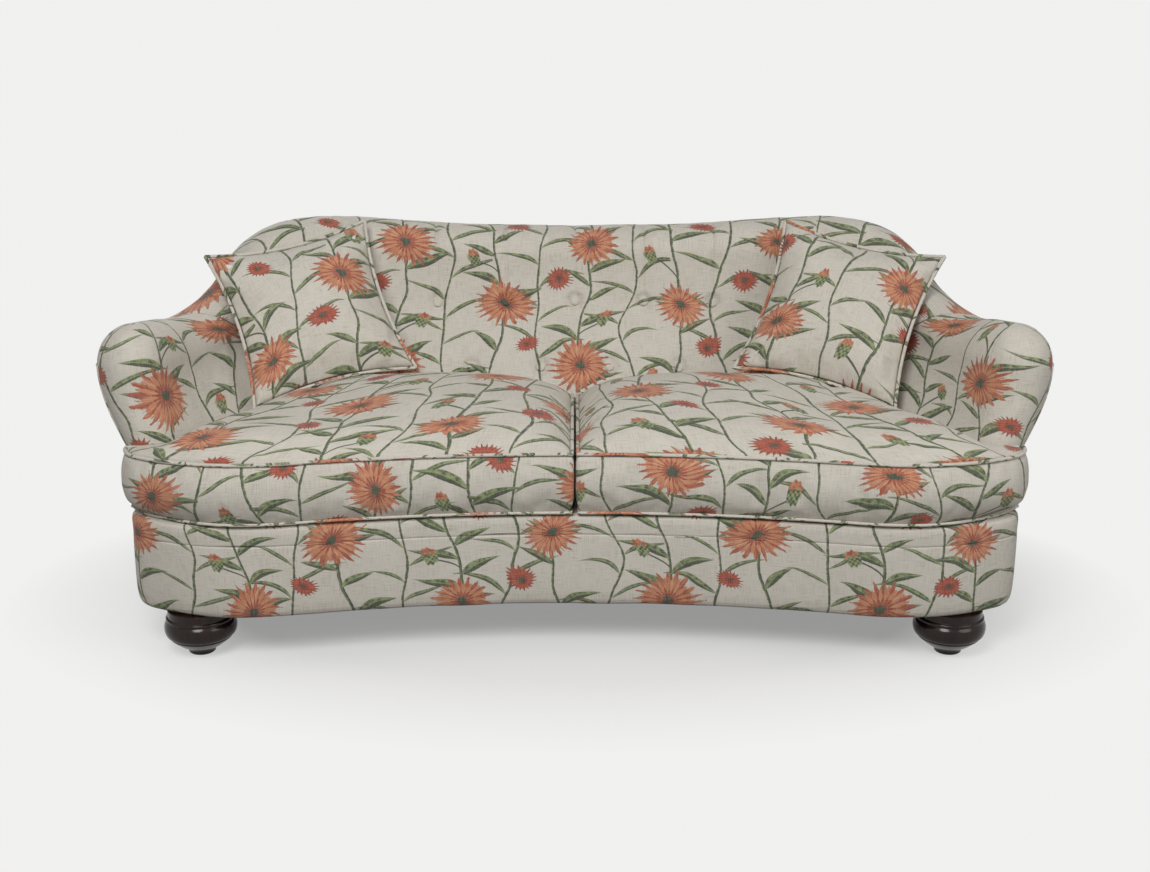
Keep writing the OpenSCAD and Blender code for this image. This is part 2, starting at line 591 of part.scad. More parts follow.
// Cloth under the base
module dust_cover() {
    color(black_cloth) difference() {
        prism(inside_rails(-rail_t + 4), base_z + 0.6, rail_z0 - 0.2);
        for (p = bolt_places) translate([p[0], p[1], base_z - 1]) cylinder(r = bolt_hole_r + 1, h = 4);
    }
}

// Boards beside the springs: they carry the arms and the ends of the deck
board_in_x = springs_a_side * spring_pitch;
board_under = 30;
module arm_base_boards() {
    z0 = clip_z1 - arm_board_t;
    color(timber) both_sides() intersection() {
        prism(inside_rails(inner_gap), z0, clip_z1);
        difference() {
            translate([board_in_x, front_mid_y, z0]) cube([base_half_w, rear_mid_y - front_mid_y, arm_board_t]);
            prism(whole_area(0, board_under), z0 - 1, clip_z1 + 1);
        }
    }
}

// Seat springs: flat zigzags from the front rail to the back rail
spring_z = rail_z1 + layer_gap;
spring_xs = [for (i = [-springs_a_side:springs_a_side - 1]) (i + 0.5) * spring_pitch];
function rail_y_front(x) = front_c[1] + sqrt(pow(front_arc_r + rail_out + rail_t / 2, 2) - x * x);
function rail_y_back(x) = rear_c[1] + sqrt(pow(rear_arc_r - rail_out - rail_t / 2, 2) - x * x);
function zigzag(x, side) = let (y0 = rail_y_front(x), y1 = rail_y_back(x),
    loops = round((y1 - y0 - 60) / spring_loop), steps = loops * 6)
    [for (i = [0:steps]) let (f = i / steps, a = 360 * loops * f,
        slope = cos(a) * spring_w * PI * loops / (y1 - y0 - 60), n = unit([1, -slope]))
        [x + spring_w / 2 * sin(a), mix(y0 + 30, y1 - 30, f)] + n * side * spring_wire / 2];
module seat_springs() {
    function side(x, s) = let (e = x + s * spring_wire / 2)
        concat([[e, rail_y_front(x)]], zigzag(x, s), [[e, rail_y_back(x)]]);
    color(steel) for (x = spring_xs)
        prism(concat(side(x, 1), back_to_front(side(x, -1))), spring_z, spring_z + spring_wire);
}
clip_w = 16;
clip_l = 22;
module spring_clips() {
    slot_h = layer_gap * 2 + spring_wire;
    color(steel) for (x = spring_xs) for (y = [rail_y_front(x), rail_y_back(x)])
        translate([x, y, rail_z1]) difference() {
            translate([-clip_w / 2, -clip_l / 2, 0]) cube([clip_w, clip_l, clip_z1 - rail_z1]);
            translate([-spring_wire / 2 - 0.2, -clip_l, -1]) cube([spring_wire + 0.4, clip_l * 2, slot_h + 1]);
        }
}

// Layers of the deck over the springs
hessian_t = 1.2;
hessian_z = clip_z1 + layer_gap;
pad_z = hessian_z + hessian_t + layer_gap;
cloth_t = 1.6;
module deck_hessian() {
    color("#a88b5c") prism(whole_area(border_t + layer_gap, layer_gap), hessian_z, hessian_z + hessian_t);
}
module deck_pad() {
    color(felt) prism(whole_area(border_t + layer_gap, layer_gap), pad_z, deck_z - cloth_t - layer_gap);
}
module platform_cloth() {
    color(fabric) prism(whole_area(border_t + layer_gap, layer_gap), deck_z - cloth_t, deck_z);
}

// Padded border over the front rail: [height, inset] of its rows, rounded at both edges.
// It is lower where it passes under the front of an arm.
under_arm = corner_at(nose_y - nose_r - 1, border_t);
function border_rows(top) = [[base_z + 0.3, border_t - 3], [base_z + 7, 10], [base_z + 22, 3], [base_z + 44, 0],
    [top - 16, 0], [top, 6]];
function border_top(s) = min(s, 2 * rim_6 - s) > under_arm + 1 ? deck_z : shell_z - layer_gap;
border_stops = let (half = concat(stops(seam_rim + 1, under_arm), stops(under_arm + 1.5, rim_6)))
    concat(half, [for (i = [len(half) - 2:-1:0]) 2 * rim_6 - half[i]]);
function rim_round(s, t) = s <= rim_6 ? rim(s, t) : let (p = rim(2 * rim_6 - s, t)) [-p[0], p[1]];
function on_rim(s, t, z) = let (p = rim_round(s, t)) [p[0], p[1], z];
module front_border() {
    function grid(side) = [for (s = border_stops)
        [for (r = border_rows(border_top(s))) on_rim(s, side == 0 ? border_t : r[1], r[0])]];
    color(fabric) sheet_between(grid(0), grid(1));
}

// Arms
face_rows = [0, 0.157, 0.3, 0.506, 0.714];
roll_rows = [1, 1.35, 1.7, 2];
arm_rows = concat([-1], face_rows, roll_rows);
roll_row = len(face_rows) + 1;
function arm_inner_column(u, t, rows) = [for (w = rows) on(in_column(arm_u(u, w), t), w)];
function arm_grid(t, rows) = concat(
    [for (u = arm_us) arm_inner_column(u, t, rows)],
    [for (i = [1:arm_nose_n]) [for (w = rows) on(nose_column(i / arm_nose_n, t), w)]],
    [for (i = [1:arm_fan_n]) [for (w = rows) on(fan_column(i / arm_fan_n, t), w)]],
    [for (i = [arm_inner_n - 1:-1:0]) [for (w = rows) on(out_column(arm_us[i], t), w)]]);
module arm_layer(t0, t1) {
    arm_sheet(arm_grid(t0, arm_rows), arm_grid(t1, arm_rows), arm_inner_n + arm_nose_n, roll_row);
}
module inside_arm_cover_right() { color(fabric) arm_layer(0, arm_cover_t); }
module inside_arm_cover_left() { left() inside_arm_cover_right(); }
arm_foam_in = arm_cover_t + layer_gap;
arm_foam_out = arm_foam_in + arm_foam_t;
module arm_pad_right() { color(foam) arm_layer(arm_foam_in, arm_foam_out); }
module arm_pad_left() { left() arm_pad_right(); }

// Board lining behind the arm foam, on the inner face only
lining_t = 3;
lining_rows = concat([-1], face_rows, [1]);
module arm_lining_right() {
    t = arm_foam_out + layer_gap;
    us = [for (i = [0:arm_inner_n - 1]) arm_us[i]];
    color(timber) sheet_between([for (u = us) arm_inner_column(u, t, lining_rows)],
        [for (u = us) arm_inner_column(u, t + lining_t, lining_rows)]);
}
module arm_lining_left() { left() arm_lining_right(); }

// Outside panels run from under the roll to the bottom of the rails, which they touch.
// Their lower rows are [height, inset outside, inset inside].
panel_low = [[base_z + 0.3, 9, border_t], [base_z + 22, 0, border_t], [rail_z1, 0, border_t],
    [rail_z1 + 8, 0, panel_t]];
panel_rows = [0, 0.3, 0.65, 1];
panel_gap = 1.4;
function panel_point(c, w) = on(c, min(w, 1 - panel_gap / (c[2] - c[4])));
function arm_panel_columns(t) = concat(
    [for (i = [0:arm_fan_n]) fan_column(i / arm_fan_n, t, 1)],
    [for (i = [arm_inner_n - 1:-1:0]) out_column(arm_us[i] + (i == 0 ? 0.02 : 0), t)]);
function arm_panel_stops() = concat(
    [for (i = [0:arm_fan_n]) mix(seam_rim - 6, rim_keys[last], i / arm_fan_n)],
    [for (i = [arm_inner_n - 1:-1:0]) spline(rim_g, arm_us[i] + (i == 0 ? 0.02 : 0))]);
function panel_grid(columns, stops_at, side) = [for (i = [0:len(columns) - 1]) concat(
    [for (r = panel_low) on_rim(stops_at[i], r[side], r[0])],
    [for (w = panel_rows) panel_point(columns[i], w)])];
module outside_arm_panel_right() {
    color(fabric) sheet_between(panel_grid(arm_panel_columns(0), arm_panel_stops(), 1),
        panel_grid(arm_panel_columns(panel_t), arm_panel_stops(), 2));
}
module outside_arm_panel_left() { left() outside_arm_panel_right(); }

// Timber of an arm: a post behind the rounded front, and a rail under the roll
arm_bar_h = 30;
post_w = 22;
post_d = 40;
post_foot = [nose_x - 8, nose_y + nose_r + 2, rail_z1];
post_head = [nose_x + 37.5, nose_y + 84, ridge_keys[last][2] - arm_foam_out - 14 - arm_bar_h];
module leaning_post(foot, head, w, d, turned) {
    hull() for (p = [foot, head - [0, 0, 1]])
        translate(p) rotate([0, 0, turned]) translate([-w / 2, -d / 2, 0]) cube([w, d, 1]);
}
module arm_post_right() { color(timber) leaning_post(post_foot, post_head, post_w, post_d, side_taper); }
module arm_post_left() { left() arm_post_right(); }
// A bar along the ridge between stations a and b: how far it reaches in and out, its depth
// below the ridge and its height.
module ridge_bar(us, reach_in, reach_out, depth, height) {
    sheet_between(
        [for (u = us) bar_side(u, reach_in, depth, height)],
        [for (u = us) bar_side(u, reach_out, depth, height)]);
}
function bar_side(u, reach, depth, height) = let (r = spline(ridge_g, abs(u)),
    d = dir(spline(turn_out_g, abs(u))), s = u < 0 ? -1 : 1)
    [for (z = [depth + height, depth]) [s * (r[0] + reach * d[0]), r[1] + reach * d[1], r[2] - z]];
module arm_top_rail_right() {
    color(timber) ridge_bar([for (u = arm_us) u + 0.05 * (last - u)], -3, 20, arm_foam_out + 7, arm_bar_h);
}
module arm_top_rail_left() { left() arm_top_rail_right(); }

// Back
back_us = with_left(concat(range(0, 4, 12), back_end_us));
function side_of(u, p) = u < 0 ? [-p[0], p[1], p[2]] : p;
// Rows up the inside by height, then over the roll.
button_rows = [lean_in_z, 455, button_low_z, (button_low_z + button_high_z) / 2, button_high_z];
function lean_w(c, z) = (z - c[4]) / (c[2] - c[4]);
function tuft_rows(c) = [for (i = [0:len(face_rows) - 1]) min(lean_w(c, button_rows[i]), face_rows[i])];
low_buttons = [for (i = [-5:2:5]) i * 2 / 3];
high_buttons = [for (i = [-6:2:6]) i * 2 / 3];
function dimple(u, z) = tuft_depth * (
    max([for (b = low_buttons) exp(-pow((u - b) / 0.32, 2) - pow((z - button_low_z) / 42, 2))])
    + max([for (b = high_buttons) exp(-pow((u - b) / 0.32, 2) - pow((z - button_high_z) / 42, 2))]));
function pleat(u, z) = z < button_high_z ? 0 : tuft_depth * 0.3
    * max([for (b = high_buttons) exp(-pow((u - b) / 0.2, 2))]);
function sink_at(u, z) = dimple(u, z) + pleat(u, z);
function on_back(u, t, w, apart) = on(in_column(back_u(abs(u), w, apart), t), w);
function back_face(u, t) = concat([-1], [for (w = tuft_rows(in_column(abs(u), t))) max(w, 0)]);
function back_column(u, t, apart, tufted) = let (
    o = out_column(abs(u), t),
    d = dir(spline(turn_in_g, abs(u))))
    [for (p = concat(
        [for (w = back_face(u, t)) let (p = on_back(u, t, w, apart), sink = tufted ? sink_at(u, p[2]) : 0)
            p + [d[0] * sink, d[1] * sink, 0]],
        [for (w = roll_rows) on_back(u, t, w, apart)],
        [for (w = [1.7, 1.35, 1]) on(o, w)])) side_of(u, p)];
// How far, in stations, the cover and the foam end short of the arm
cover_apart = 0.05;
foam_apart = 0.18;
module inside_back_cover() {
    color(fabric) sheet_between([for (u = back_us) back_column(u, 0, cover_apart, true)],
        [for (u = back_us) back_column(u, back_cover_t, cover_apart, false)]);
}
back_foam_in = back_cover_t + 1.2;
back_foam_out = back_foam_in + back_foam_t;
module back_pad() {
    color(foam) sheet_between([for (u = back_coarse_us) back_column(u, back_foam_in, foam_apart, false)],
        [for (u = back_coarse_us) back_column(u, back_foam_out, foam_apart, false)]);
}
module outside_back_panel() {
    function grid(t, side) = let (columns = [for (u = back_coarse_us) out_column(abs(u), t)],
        faces = panel_grid(columns, [for (u = back_coarse_us) spline(rim_g, abs(u))], side))
        [for (i = [0:len(faces) - 1]) [for (p = faces[i]) side_of(back_coarse_us[i], p)]];
    color(fabric) sheet_between(grid(panel_t, 2), grid(0, 1));
}

// Webbing behind the back foam: upright straps
strap_us = [-5, -3.75, -2.5, -1.25, 0, 1.25, 2.5, 3.75, 5];
strap_half = 0.22;
module back_webbing() {
    t = back_foam_out + 0.6;
    function strap(u, t) = [for (v = [u - strap_half, u + strap_half])
        [for (w = concat(back_face(v, t), [1])) side_of(v, on_back(v, t, w, foam_apart))]];
    color(black_cloth) for (u = strap_us) sheet_between(strap(u, t), strap(u, t + 2));
}
back_bar_h = 44;
module back_top_rail() {
    color(timber) ridge_bar([for (u = back_coarse_us) if (abs(u) <= 6) u], 0, back_post_d,
        back_foam_out + 8.5, back_bar_h);
}
// Posts of the back stand on the back rail and end under the top rail.
post_us = [-5.6, -3.8, -2, 2, 3.8, 5.6];
back_post_w = 34;
back_post_d = 24;
post_clear = 2;
// How far along the rail a post moves, if it must, to stand clear of the spring clips beside it
function beside_clips(x) = x > (springs_a_side - 0.5) * spring_pitch + spring_pitch / 2 ? 0 :
    let (mid = spring_pitch * round(x / spring_pitch),
        room = (spring_pitch - clip_w - back_post_w) / 2 - post_clear)
    max(mid - room, min(mid + room, x)) - x;
module back_posts() {
    color(timber) for (u = post_us) {
        a = abs(u);
        turned = spline(turn_out_g, a);
        s0 = spline(rim_g, a);
        inset = rail_out + 4 + back_post_d / 2;
        foot = rim(s0 + beside_clips(rim(s0, inset)[0]), inset);
        head = spline(ridge_g, a) + [12 * sin(turned), 12 * cos(turned), 0];
        low = min(spline(ridge_g, a - 0.2)[2], spline(ridge_g, a + 0.2)[2]);
        z1 = low - back_foam_out - 10 - back_bar_h;
        mirror([u < 0 ? 1 : 0, 0, 0]) leaning_post([foot[0], foot[1], rail_z1], [head[0], head[1], z1],
            back_post_w, back_post_d, -turned);
    }
}

// Buttons: a domed disc on a short taper that sits in its dimple
module button() {
    r = button_d / 2;
    rotate_extrude() polygon([[0, 1], [1, 1], [r, 5], [r, 5.5], [r * 0.8, 7.6], [r * 0.45, 8.8], [0, 9.2]]);
}
module back_buttons() {
    color(fabric) for (row = [[low_buttons, button_low_z], [high_buttons, button_high_z]]) for (u = row[0]) {
        c = in_column(abs(u), 0);
        d = dir(spline(turn_in_g, abs(u)));
        w = lean_w(c, row[1]);
        p = on(c, w);
        q = on(c, w + 0.02);
        sink = sink_at(u, row[1]);
        lean = atan2(norm([q[0] - p[0], q[1] - p[1]]), q[2] - p[2]);
        s = u < 0 ? -1 : 1;
        translate(side_of(u, p + [d[0] * sink, d[1] * sink, 0]))
            rotate([0, 0, -s * spline(turn_in_g, abs(u))]) rotate([90 - lean, 0, 0]) button();
    }
}

// Seat cushions: a boxed cover with piping, over a foam core
seat_welt_z = seat_low_z + seat_boxing_h;
seat_outline = half_area(-seat_proud, seat_clear, seat_gap / 2);
seat_mid = [base_half_w * 0.468, front_mid_y + seat_depth * 0.378];
seat_front_y = front_mid_y + 78;
// Rings of the cushion follow the outline: d square to its edge inside it, or scaled by
// k about the middle. The cushion is squeezed higher towards the back, and its lower seam
// tucks in, most of all at the outer corner. Only its free front swells.
function inward_at(path, i) = let (n = len(path), a = unit(path[i] - path[(i + n - 1) % n]),
    b = unit(path[(i + 1) % n] - path[i]), m = unit([-a[1] - b[1], a[0] + b[0]]))
    m / max(0.7, m * [-b[1], b[0]]);
seat_inward = [for (i = [0:len(seat_outline) - 1]) inward_at(seat_outline, i)];
seat_edge = [0:len(seat_outline) - 1];
function inset(i, d) = seat_outline[i] + d * seat_inward[i];
welt_in = 10;
low_in = 12;
low_in_corner = 22;
tuck_from = 165;
tuck_len = 150;
rise_in = 360;
rise_fade = 260;
rise_len = 380;
function rise_at(p) = seat_rear_rise * sin(90 * clamp01((p[1] - seat_front_y) / rise_len))
    * sin(90 * clamp01(p[0] / rise_in))
    * (1 - 0.9 * clamp01((p[0] - nose_x + rise_fade + tuck_from) / rise_fade));
function free_at(p) = p[1] < nose_y - nose_r - seat_clear - 2 && p[0] > seat_gap ? 1 : 0;
function tuck_at(p) = low_in + low_in_corner * clamp01((p[0] - nose_x + tuck_from) / tuck_len)
    * clamp01((nose_y - nose_r - seat_clear - p[1]) / nose_r);
function seat_point(i, d, z, lift) = let (q = inset(i, d)) [q[0], q[1], z + lift * rise_at(q)];
function seat_ring(d, z, lift) = [for (i = seat_edge) seat_point(i, d, z, lift)];
function seat_scaled(k, z, lift) = [for (i = seat_edge)
    let (q = mix(seat_mid, inset(i, 40), k)) [q[0], q[1], z + lift * rise_at(q)]];
// The boxing: f up it, s how much it swells, drawn how far it is drawn in to the lower seam
function boxing_ring(f, s, drawn) = [for (i = seat_edge) let (p = seat_outline[i])
    seat_point(i, drawn * tuck_at(p) - s * boxing_swell * free_at(p), mix(seat_low_z, seat_welt_z, f), f)];
seat_under = deck_z + layer_gap + 0.4;
module seat_body() {
    ringed([seat_scaled(0.5, seat_under, 0), seat_ring(40, seat_under, 0),
        boxing_ring(0, 0, 1), boxing_ring(0.12, 0.2, 0.3), boxing_ring(0.45, 1, 0), boxing_ring(0.88, 0.3, 0),
        seat_ring(welt_in, seat_welt_z, 1),
        seat_ring(welt_in + 6, seat_welt_z + 8, 1), seat_ring(44, seat_welt_z + seat_crown * 0.45, 1),
        seat_scaled(0.8, seat_welt_z + seat_crown * 0.72, 1),
        seat_scaled(0.5, seat_welt_z + seat_crown * 0.93, 0.9),
        seat_scaled(0.22, seat_welt_z + seat_crown * 0.99, 0.8)],
        [seat_mid[0], seat_mid[1], seat_under],
        [seat_mid[0], seat_mid[1], seat_welt_z + seat_crown + 0.8 * rise_at(seat_mid)]);
}
core_z0 = seat_low_z + 12;
core_z1 = seat_welt_z - 9;
function core_outline(extra) = let (d = core_inset - extra)
    half_area(d - seat_proud, d + seat_clear, d + seat_gap / 2);
module seat_core_right() { color(foam) prism(core_outline(0), core_z0, core_z1); }
module seat_core_left() { left() seat_core_right(); }
// The zip opening runs along the boxing at the rear
zip_l = 420;
zip_z = (seat_low_z + seat_welt_z) / 2;
zip_x = 260;
zip_y = well(zip_x, seat_clear)[1];
zip_turn = -turn(zip_x, well_r);
module zip_place() { translate([zip_x, zip_y, zip_z]) rotate([0, 0, zip_turn]) children(); }
zip_bow = well_r - sqrt(well_r * well_r - zip_l * zip_l / 4);
module seat_cover_right() {
    color(fabric) difference() {
        seat_body();
        prism(core_outline(layer_gap), core_z0 - layer_gap, core_z1 + layer_gap);
        zip_place() translate([-zip_l / 2, -core_inset - 20, -3]) cube([zip_l, core_inset + 40, 6]);
    }
}
module seat_cover_left() { left() seat_cover_right(); }
module seat_zip_right() {
    color(steel) zip_place() translate([-zip_l / 2 + 2, -core_inset * 0.6 - zip_bow, -2.6])
        cube([zip_l - 4, core_inset * 0.35, 5.2]);
}
module seat_zip_left() { left() seat_zip_right(); }
// Piping lies along the seams, just outside them, and lower where the seam tucks in.
piping_out = piping_r + 1.5;
function seam_path(low) = [for (i = seat_edge)
    let (tuck = tuck_at(seat_outline[i]), q = inset(i, (low ? tuck : welt_in) - piping_out))
    [q[0], q[1], low ? seat_low_z + 0.2 - 0.12 * (tuck - low_in) : seat_welt_z - 0.2 + rise_at(q)]];
module seat_piping_right() {
    color(fabric) for (low = [true, false]) loop_tube(seam_path(low), piping_r, 4);
}
module seat_piping_left() { left() seat_piping_right(); }

// Scatter cushions: square, crowned, with drawn-in sides and pinched corners
scatter_at = [nose_x - 285, front_mid_y + seat_depth - 48, seat_welt_z + 209.3];
scatter_yaw = -17;
scatter_lean = 33;
scatter_roll = 11;
module scatter_place() {
    translate(scatter_at) rotate([0, 0, scatter_yaw]) rotate([-scatter_lean, 0, 0]) rotate([0, scatter_roll, 0])
        rotate([90, 0, 0]) children();
}
scatter_n = 6;
scatter_half = scatter_side / 2;
// The outline in its own plane: each side bows in by a parabola
function scatter_edge(inset) = let (h = scatter_half - inset) [for (k = [0:3]) for (i = [0:scatter_n - 1])
    let (f = 2 * i / scatter_n - 1, x = h * f, y = -h + scatter_draw * (1 - f * f),
        a = 90 * k) [x * cos(a) - y * sin(a), x * sin(a) + y * cos(a)]];
function scatter_ring(k, z) = [for (p = scatter_edge(0)) [p[0] * k, p[1] * k, z]];
module scatter_body(t, shrink, levels) {
    h = t / 2;
    ringed(concat(
        [for (l = back_to_front(levels)) scatter_ring(l[0] * shrink, -h * l[1])],
        [for (l = levels) scatter_ring(l[0] * shrink, h * l[1])]), [0, 0, -h], [0, 0, h]);
}
scatter_levels = [[1, 0.06], [0.94, 0.3], [0.82, 0.52], [0.66, 0.74], [0.45, 0.91], [0.22, 0.985]];
pad_levels = [[0.98, 0.12], [0.8, 0.5], [0.45, 0.86]];
scatter_pad_t = scatter_t - 12;
scatter_slot = 300;
module scatter_pad_right() {
    color(foam) scatter_place() scatter_body(scatter_pad_t - 2 * layer_gap, 0.935, pad_levels);
}
module scatter_pad_left() { left() scatter_pad_right(); }
module scatter_cover_right() {
    color(fabric) scatter_place() difference() {
        scatter_body(scatter_t, 1, scatter_levels);
        scatter_body(scatter_pad_t, 0.94, pad_levels);
        translate([-scatter_slot / 2, -scatter_half - 20, -1]) cube([scatter_slot, 60, 2]);
    }
}
module scatter_cover_left() { left() scatter_cover_right(); }
module scatter_piping_right() {
    color(fabric) scatter_place()
        loop_tube([for (p = scatter_edge(-piping_r * cos(45) - 2 * layer_gap)) [p[0], p[1], 0]], piping_r, 4);
}
module scatter_piping_left() { left() scatter_piping_right(); }

front_rail();
back_rail();
side_rail_left();
side_rail_right();
cross_rails();
foot_blocks();
arm_base_boards();
seat_springs();
spring_clips();
deck_hessian();
deck_pad();
platform_cloth();
front_border();
dust_cover();
foot_front_left();
foot_front_right();
foot_rear_left();
foot_rear_right();
centre_leg();
foot_bolts();
tee_nuts();
glides();
arm_post_left();
arm_post_right();
arm_top_rail_left();
arm_top_rail_right();
arm_lining_left();
arm_lining_right();
arm_pad_left();
arm_pad_right();
inside_arm_cover_left();
inside_arm_cover_right();
outside_arm_panel_left();
outside_arm_panel_right();
back_posts();
back_top_rail();
back_webbing();
back_pad();
inside_back_cover();
outside_back_panel();
back_buttons();
seat_core_left();
seat_core_right();
seat_cover_left();
seat_cover_right();
seat_piping_left();
seat_piping_right();
seat_zip_left();
seat_zip_right();
scatter_pad_left();
scatter_pad_right();
scatter_cover_left();
scatter_cover_right();
scatter_piping_left();
scatter_piping_right();
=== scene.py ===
"""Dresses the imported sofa: covers, cushions, piping, buttons, feet and every hidden layer.

Lengths in the dataclasses are millimetres unless they say metres; meshes are made in metres.
"""

import json
import logging
import math
from dataclasses import dataclass, field
from enum import Enum

import bmesh
import bpy
import numpy as np
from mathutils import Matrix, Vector

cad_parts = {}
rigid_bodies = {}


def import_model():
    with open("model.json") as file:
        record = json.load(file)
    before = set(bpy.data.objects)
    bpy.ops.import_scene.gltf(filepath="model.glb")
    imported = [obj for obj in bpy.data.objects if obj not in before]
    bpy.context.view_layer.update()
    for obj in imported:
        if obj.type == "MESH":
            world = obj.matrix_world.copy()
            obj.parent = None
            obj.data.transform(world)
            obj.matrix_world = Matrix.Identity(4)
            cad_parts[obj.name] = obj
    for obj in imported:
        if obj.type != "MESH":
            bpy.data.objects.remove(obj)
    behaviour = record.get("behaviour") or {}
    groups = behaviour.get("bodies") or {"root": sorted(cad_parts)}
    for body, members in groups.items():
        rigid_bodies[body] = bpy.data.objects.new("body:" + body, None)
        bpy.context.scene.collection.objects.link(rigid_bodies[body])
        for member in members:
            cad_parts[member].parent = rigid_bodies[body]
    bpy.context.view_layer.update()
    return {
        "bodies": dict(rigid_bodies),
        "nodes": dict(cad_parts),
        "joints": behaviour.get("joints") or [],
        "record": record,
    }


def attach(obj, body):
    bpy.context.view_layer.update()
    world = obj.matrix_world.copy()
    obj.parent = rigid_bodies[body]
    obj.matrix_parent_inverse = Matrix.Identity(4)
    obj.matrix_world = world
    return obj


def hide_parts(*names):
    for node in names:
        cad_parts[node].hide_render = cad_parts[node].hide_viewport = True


LOG = logging.getLogger("sofa")
MM = 0.001
WELD = 0.00004  # metres within which points of neighbouring patches become one
TINY = 1e-9  # least length that anything is divided by
BIAS = 0.707  # sine and cosine of 45 degrees, at which a cord's cover is cut
LEFT_UP = 0.19  # metres up the cloth from a right piece to the left one of its pair

INFIX = {("*", "+"): "MULTIPLY_ADD", ("*",): "MULTIPLY", ("+",): "ADD", ("-",): "SUBTRACT", ("/",): "DIVIDE"}
Numbers = np.ndarray | float
Place = tuple[float, float, float]


class Side(Enum):
    """Which half of the sofa a piece is on; the value mirrors X."""

    LEFT = -1
    RIGHT = 1

    @property
    def word(self) -> str:
        """Name of the side as the nodes spell it."""
        return self.name.lower()

    def place(self, at: Place) -> Place:
        """A place of the right half, on this one."""
        return (at[0] * self.value, at[1], at[2])


# Numbers and curves


def mix(a: Numbers, b: Numbers, t: Numbers) -> Numbers:
    """a where t is 0 and b where t is 1, for numbers and arrays alike."""
    return a + (b - a) * t


def toward(degrees: np.ndarray) -> np.ndarray:
    """Plan directions by their angle from +Y towards +X: (sine, cosine) along the last axis."""
    a = np.radians(degrees)
    return np.stack([np.sin(a), np.cos(a)], -1)


def smooth(t: np.ndarray) -> np.ndarray:
    """Clamped t with level ends: 3t^2 - 2t^3."""
    t = np.clip(t, 0.0, 1.0)
    return t * t * (3.0 - 2.0 * t)


def spline(keys: np.ndarray, u: np.ndarray) -> np.ndarray:
    """A Catmull-Rom curve through evenly numbered keys, with one spare key at each end.

    Args:
        keys: one number or one point per row.
        u: places along it, counted in keys from the first real one.

    Returns:
        The curve's value at each place.
    """
    u = np.asarray(u, float)
    i = np.clip(np.floor(u).astype(int), 0, len(keys) - 4)
    t = u - i
    if keys.ndim > 1:
        t = t[..., None]
    a, b, c, d = keys[i], keys[i + 1], keys[i + 2], keys[i + 3]
    return 0.5 * (2 * b + (c - a) * t + (2 * a - 5 * b + 4 * c - d) * t**2 + (3 * b - a - 3 * c + d) * t**3)


def ghosted(keys: list) -> np.ndarray:
    """Adds the spare keys that a spline takes: one mirrored in X before, one drawn on straight after.

    Args:
        keys: numbers, or points of x, y and z.

    Returns:
        The keys between their two spare ones.
    """
    k = np.array(keys, float)
    first = k[1] * np.array([-1.0, 1.0, 1.0]) if k.ndim > 1 else k[1]
    return np.concatenate([[first], k, [2 * k[-1] - k[-2]]])


def lengths_along(points: np.ndarray, axis: int) -> np.ndarray:
    """Distance run along one axis of a grid of points, from 0: the running sum of its steps."""
    step = np.linalg.norm(np.diff(points, axis=axis), axis=-1)
    pad = [(0, 0)] * step.ndim
    pad[axis] = (1, 0)
    return np.cumsum(np.pad(step, pad), axis=axis)


# Plan and shell of the sofa


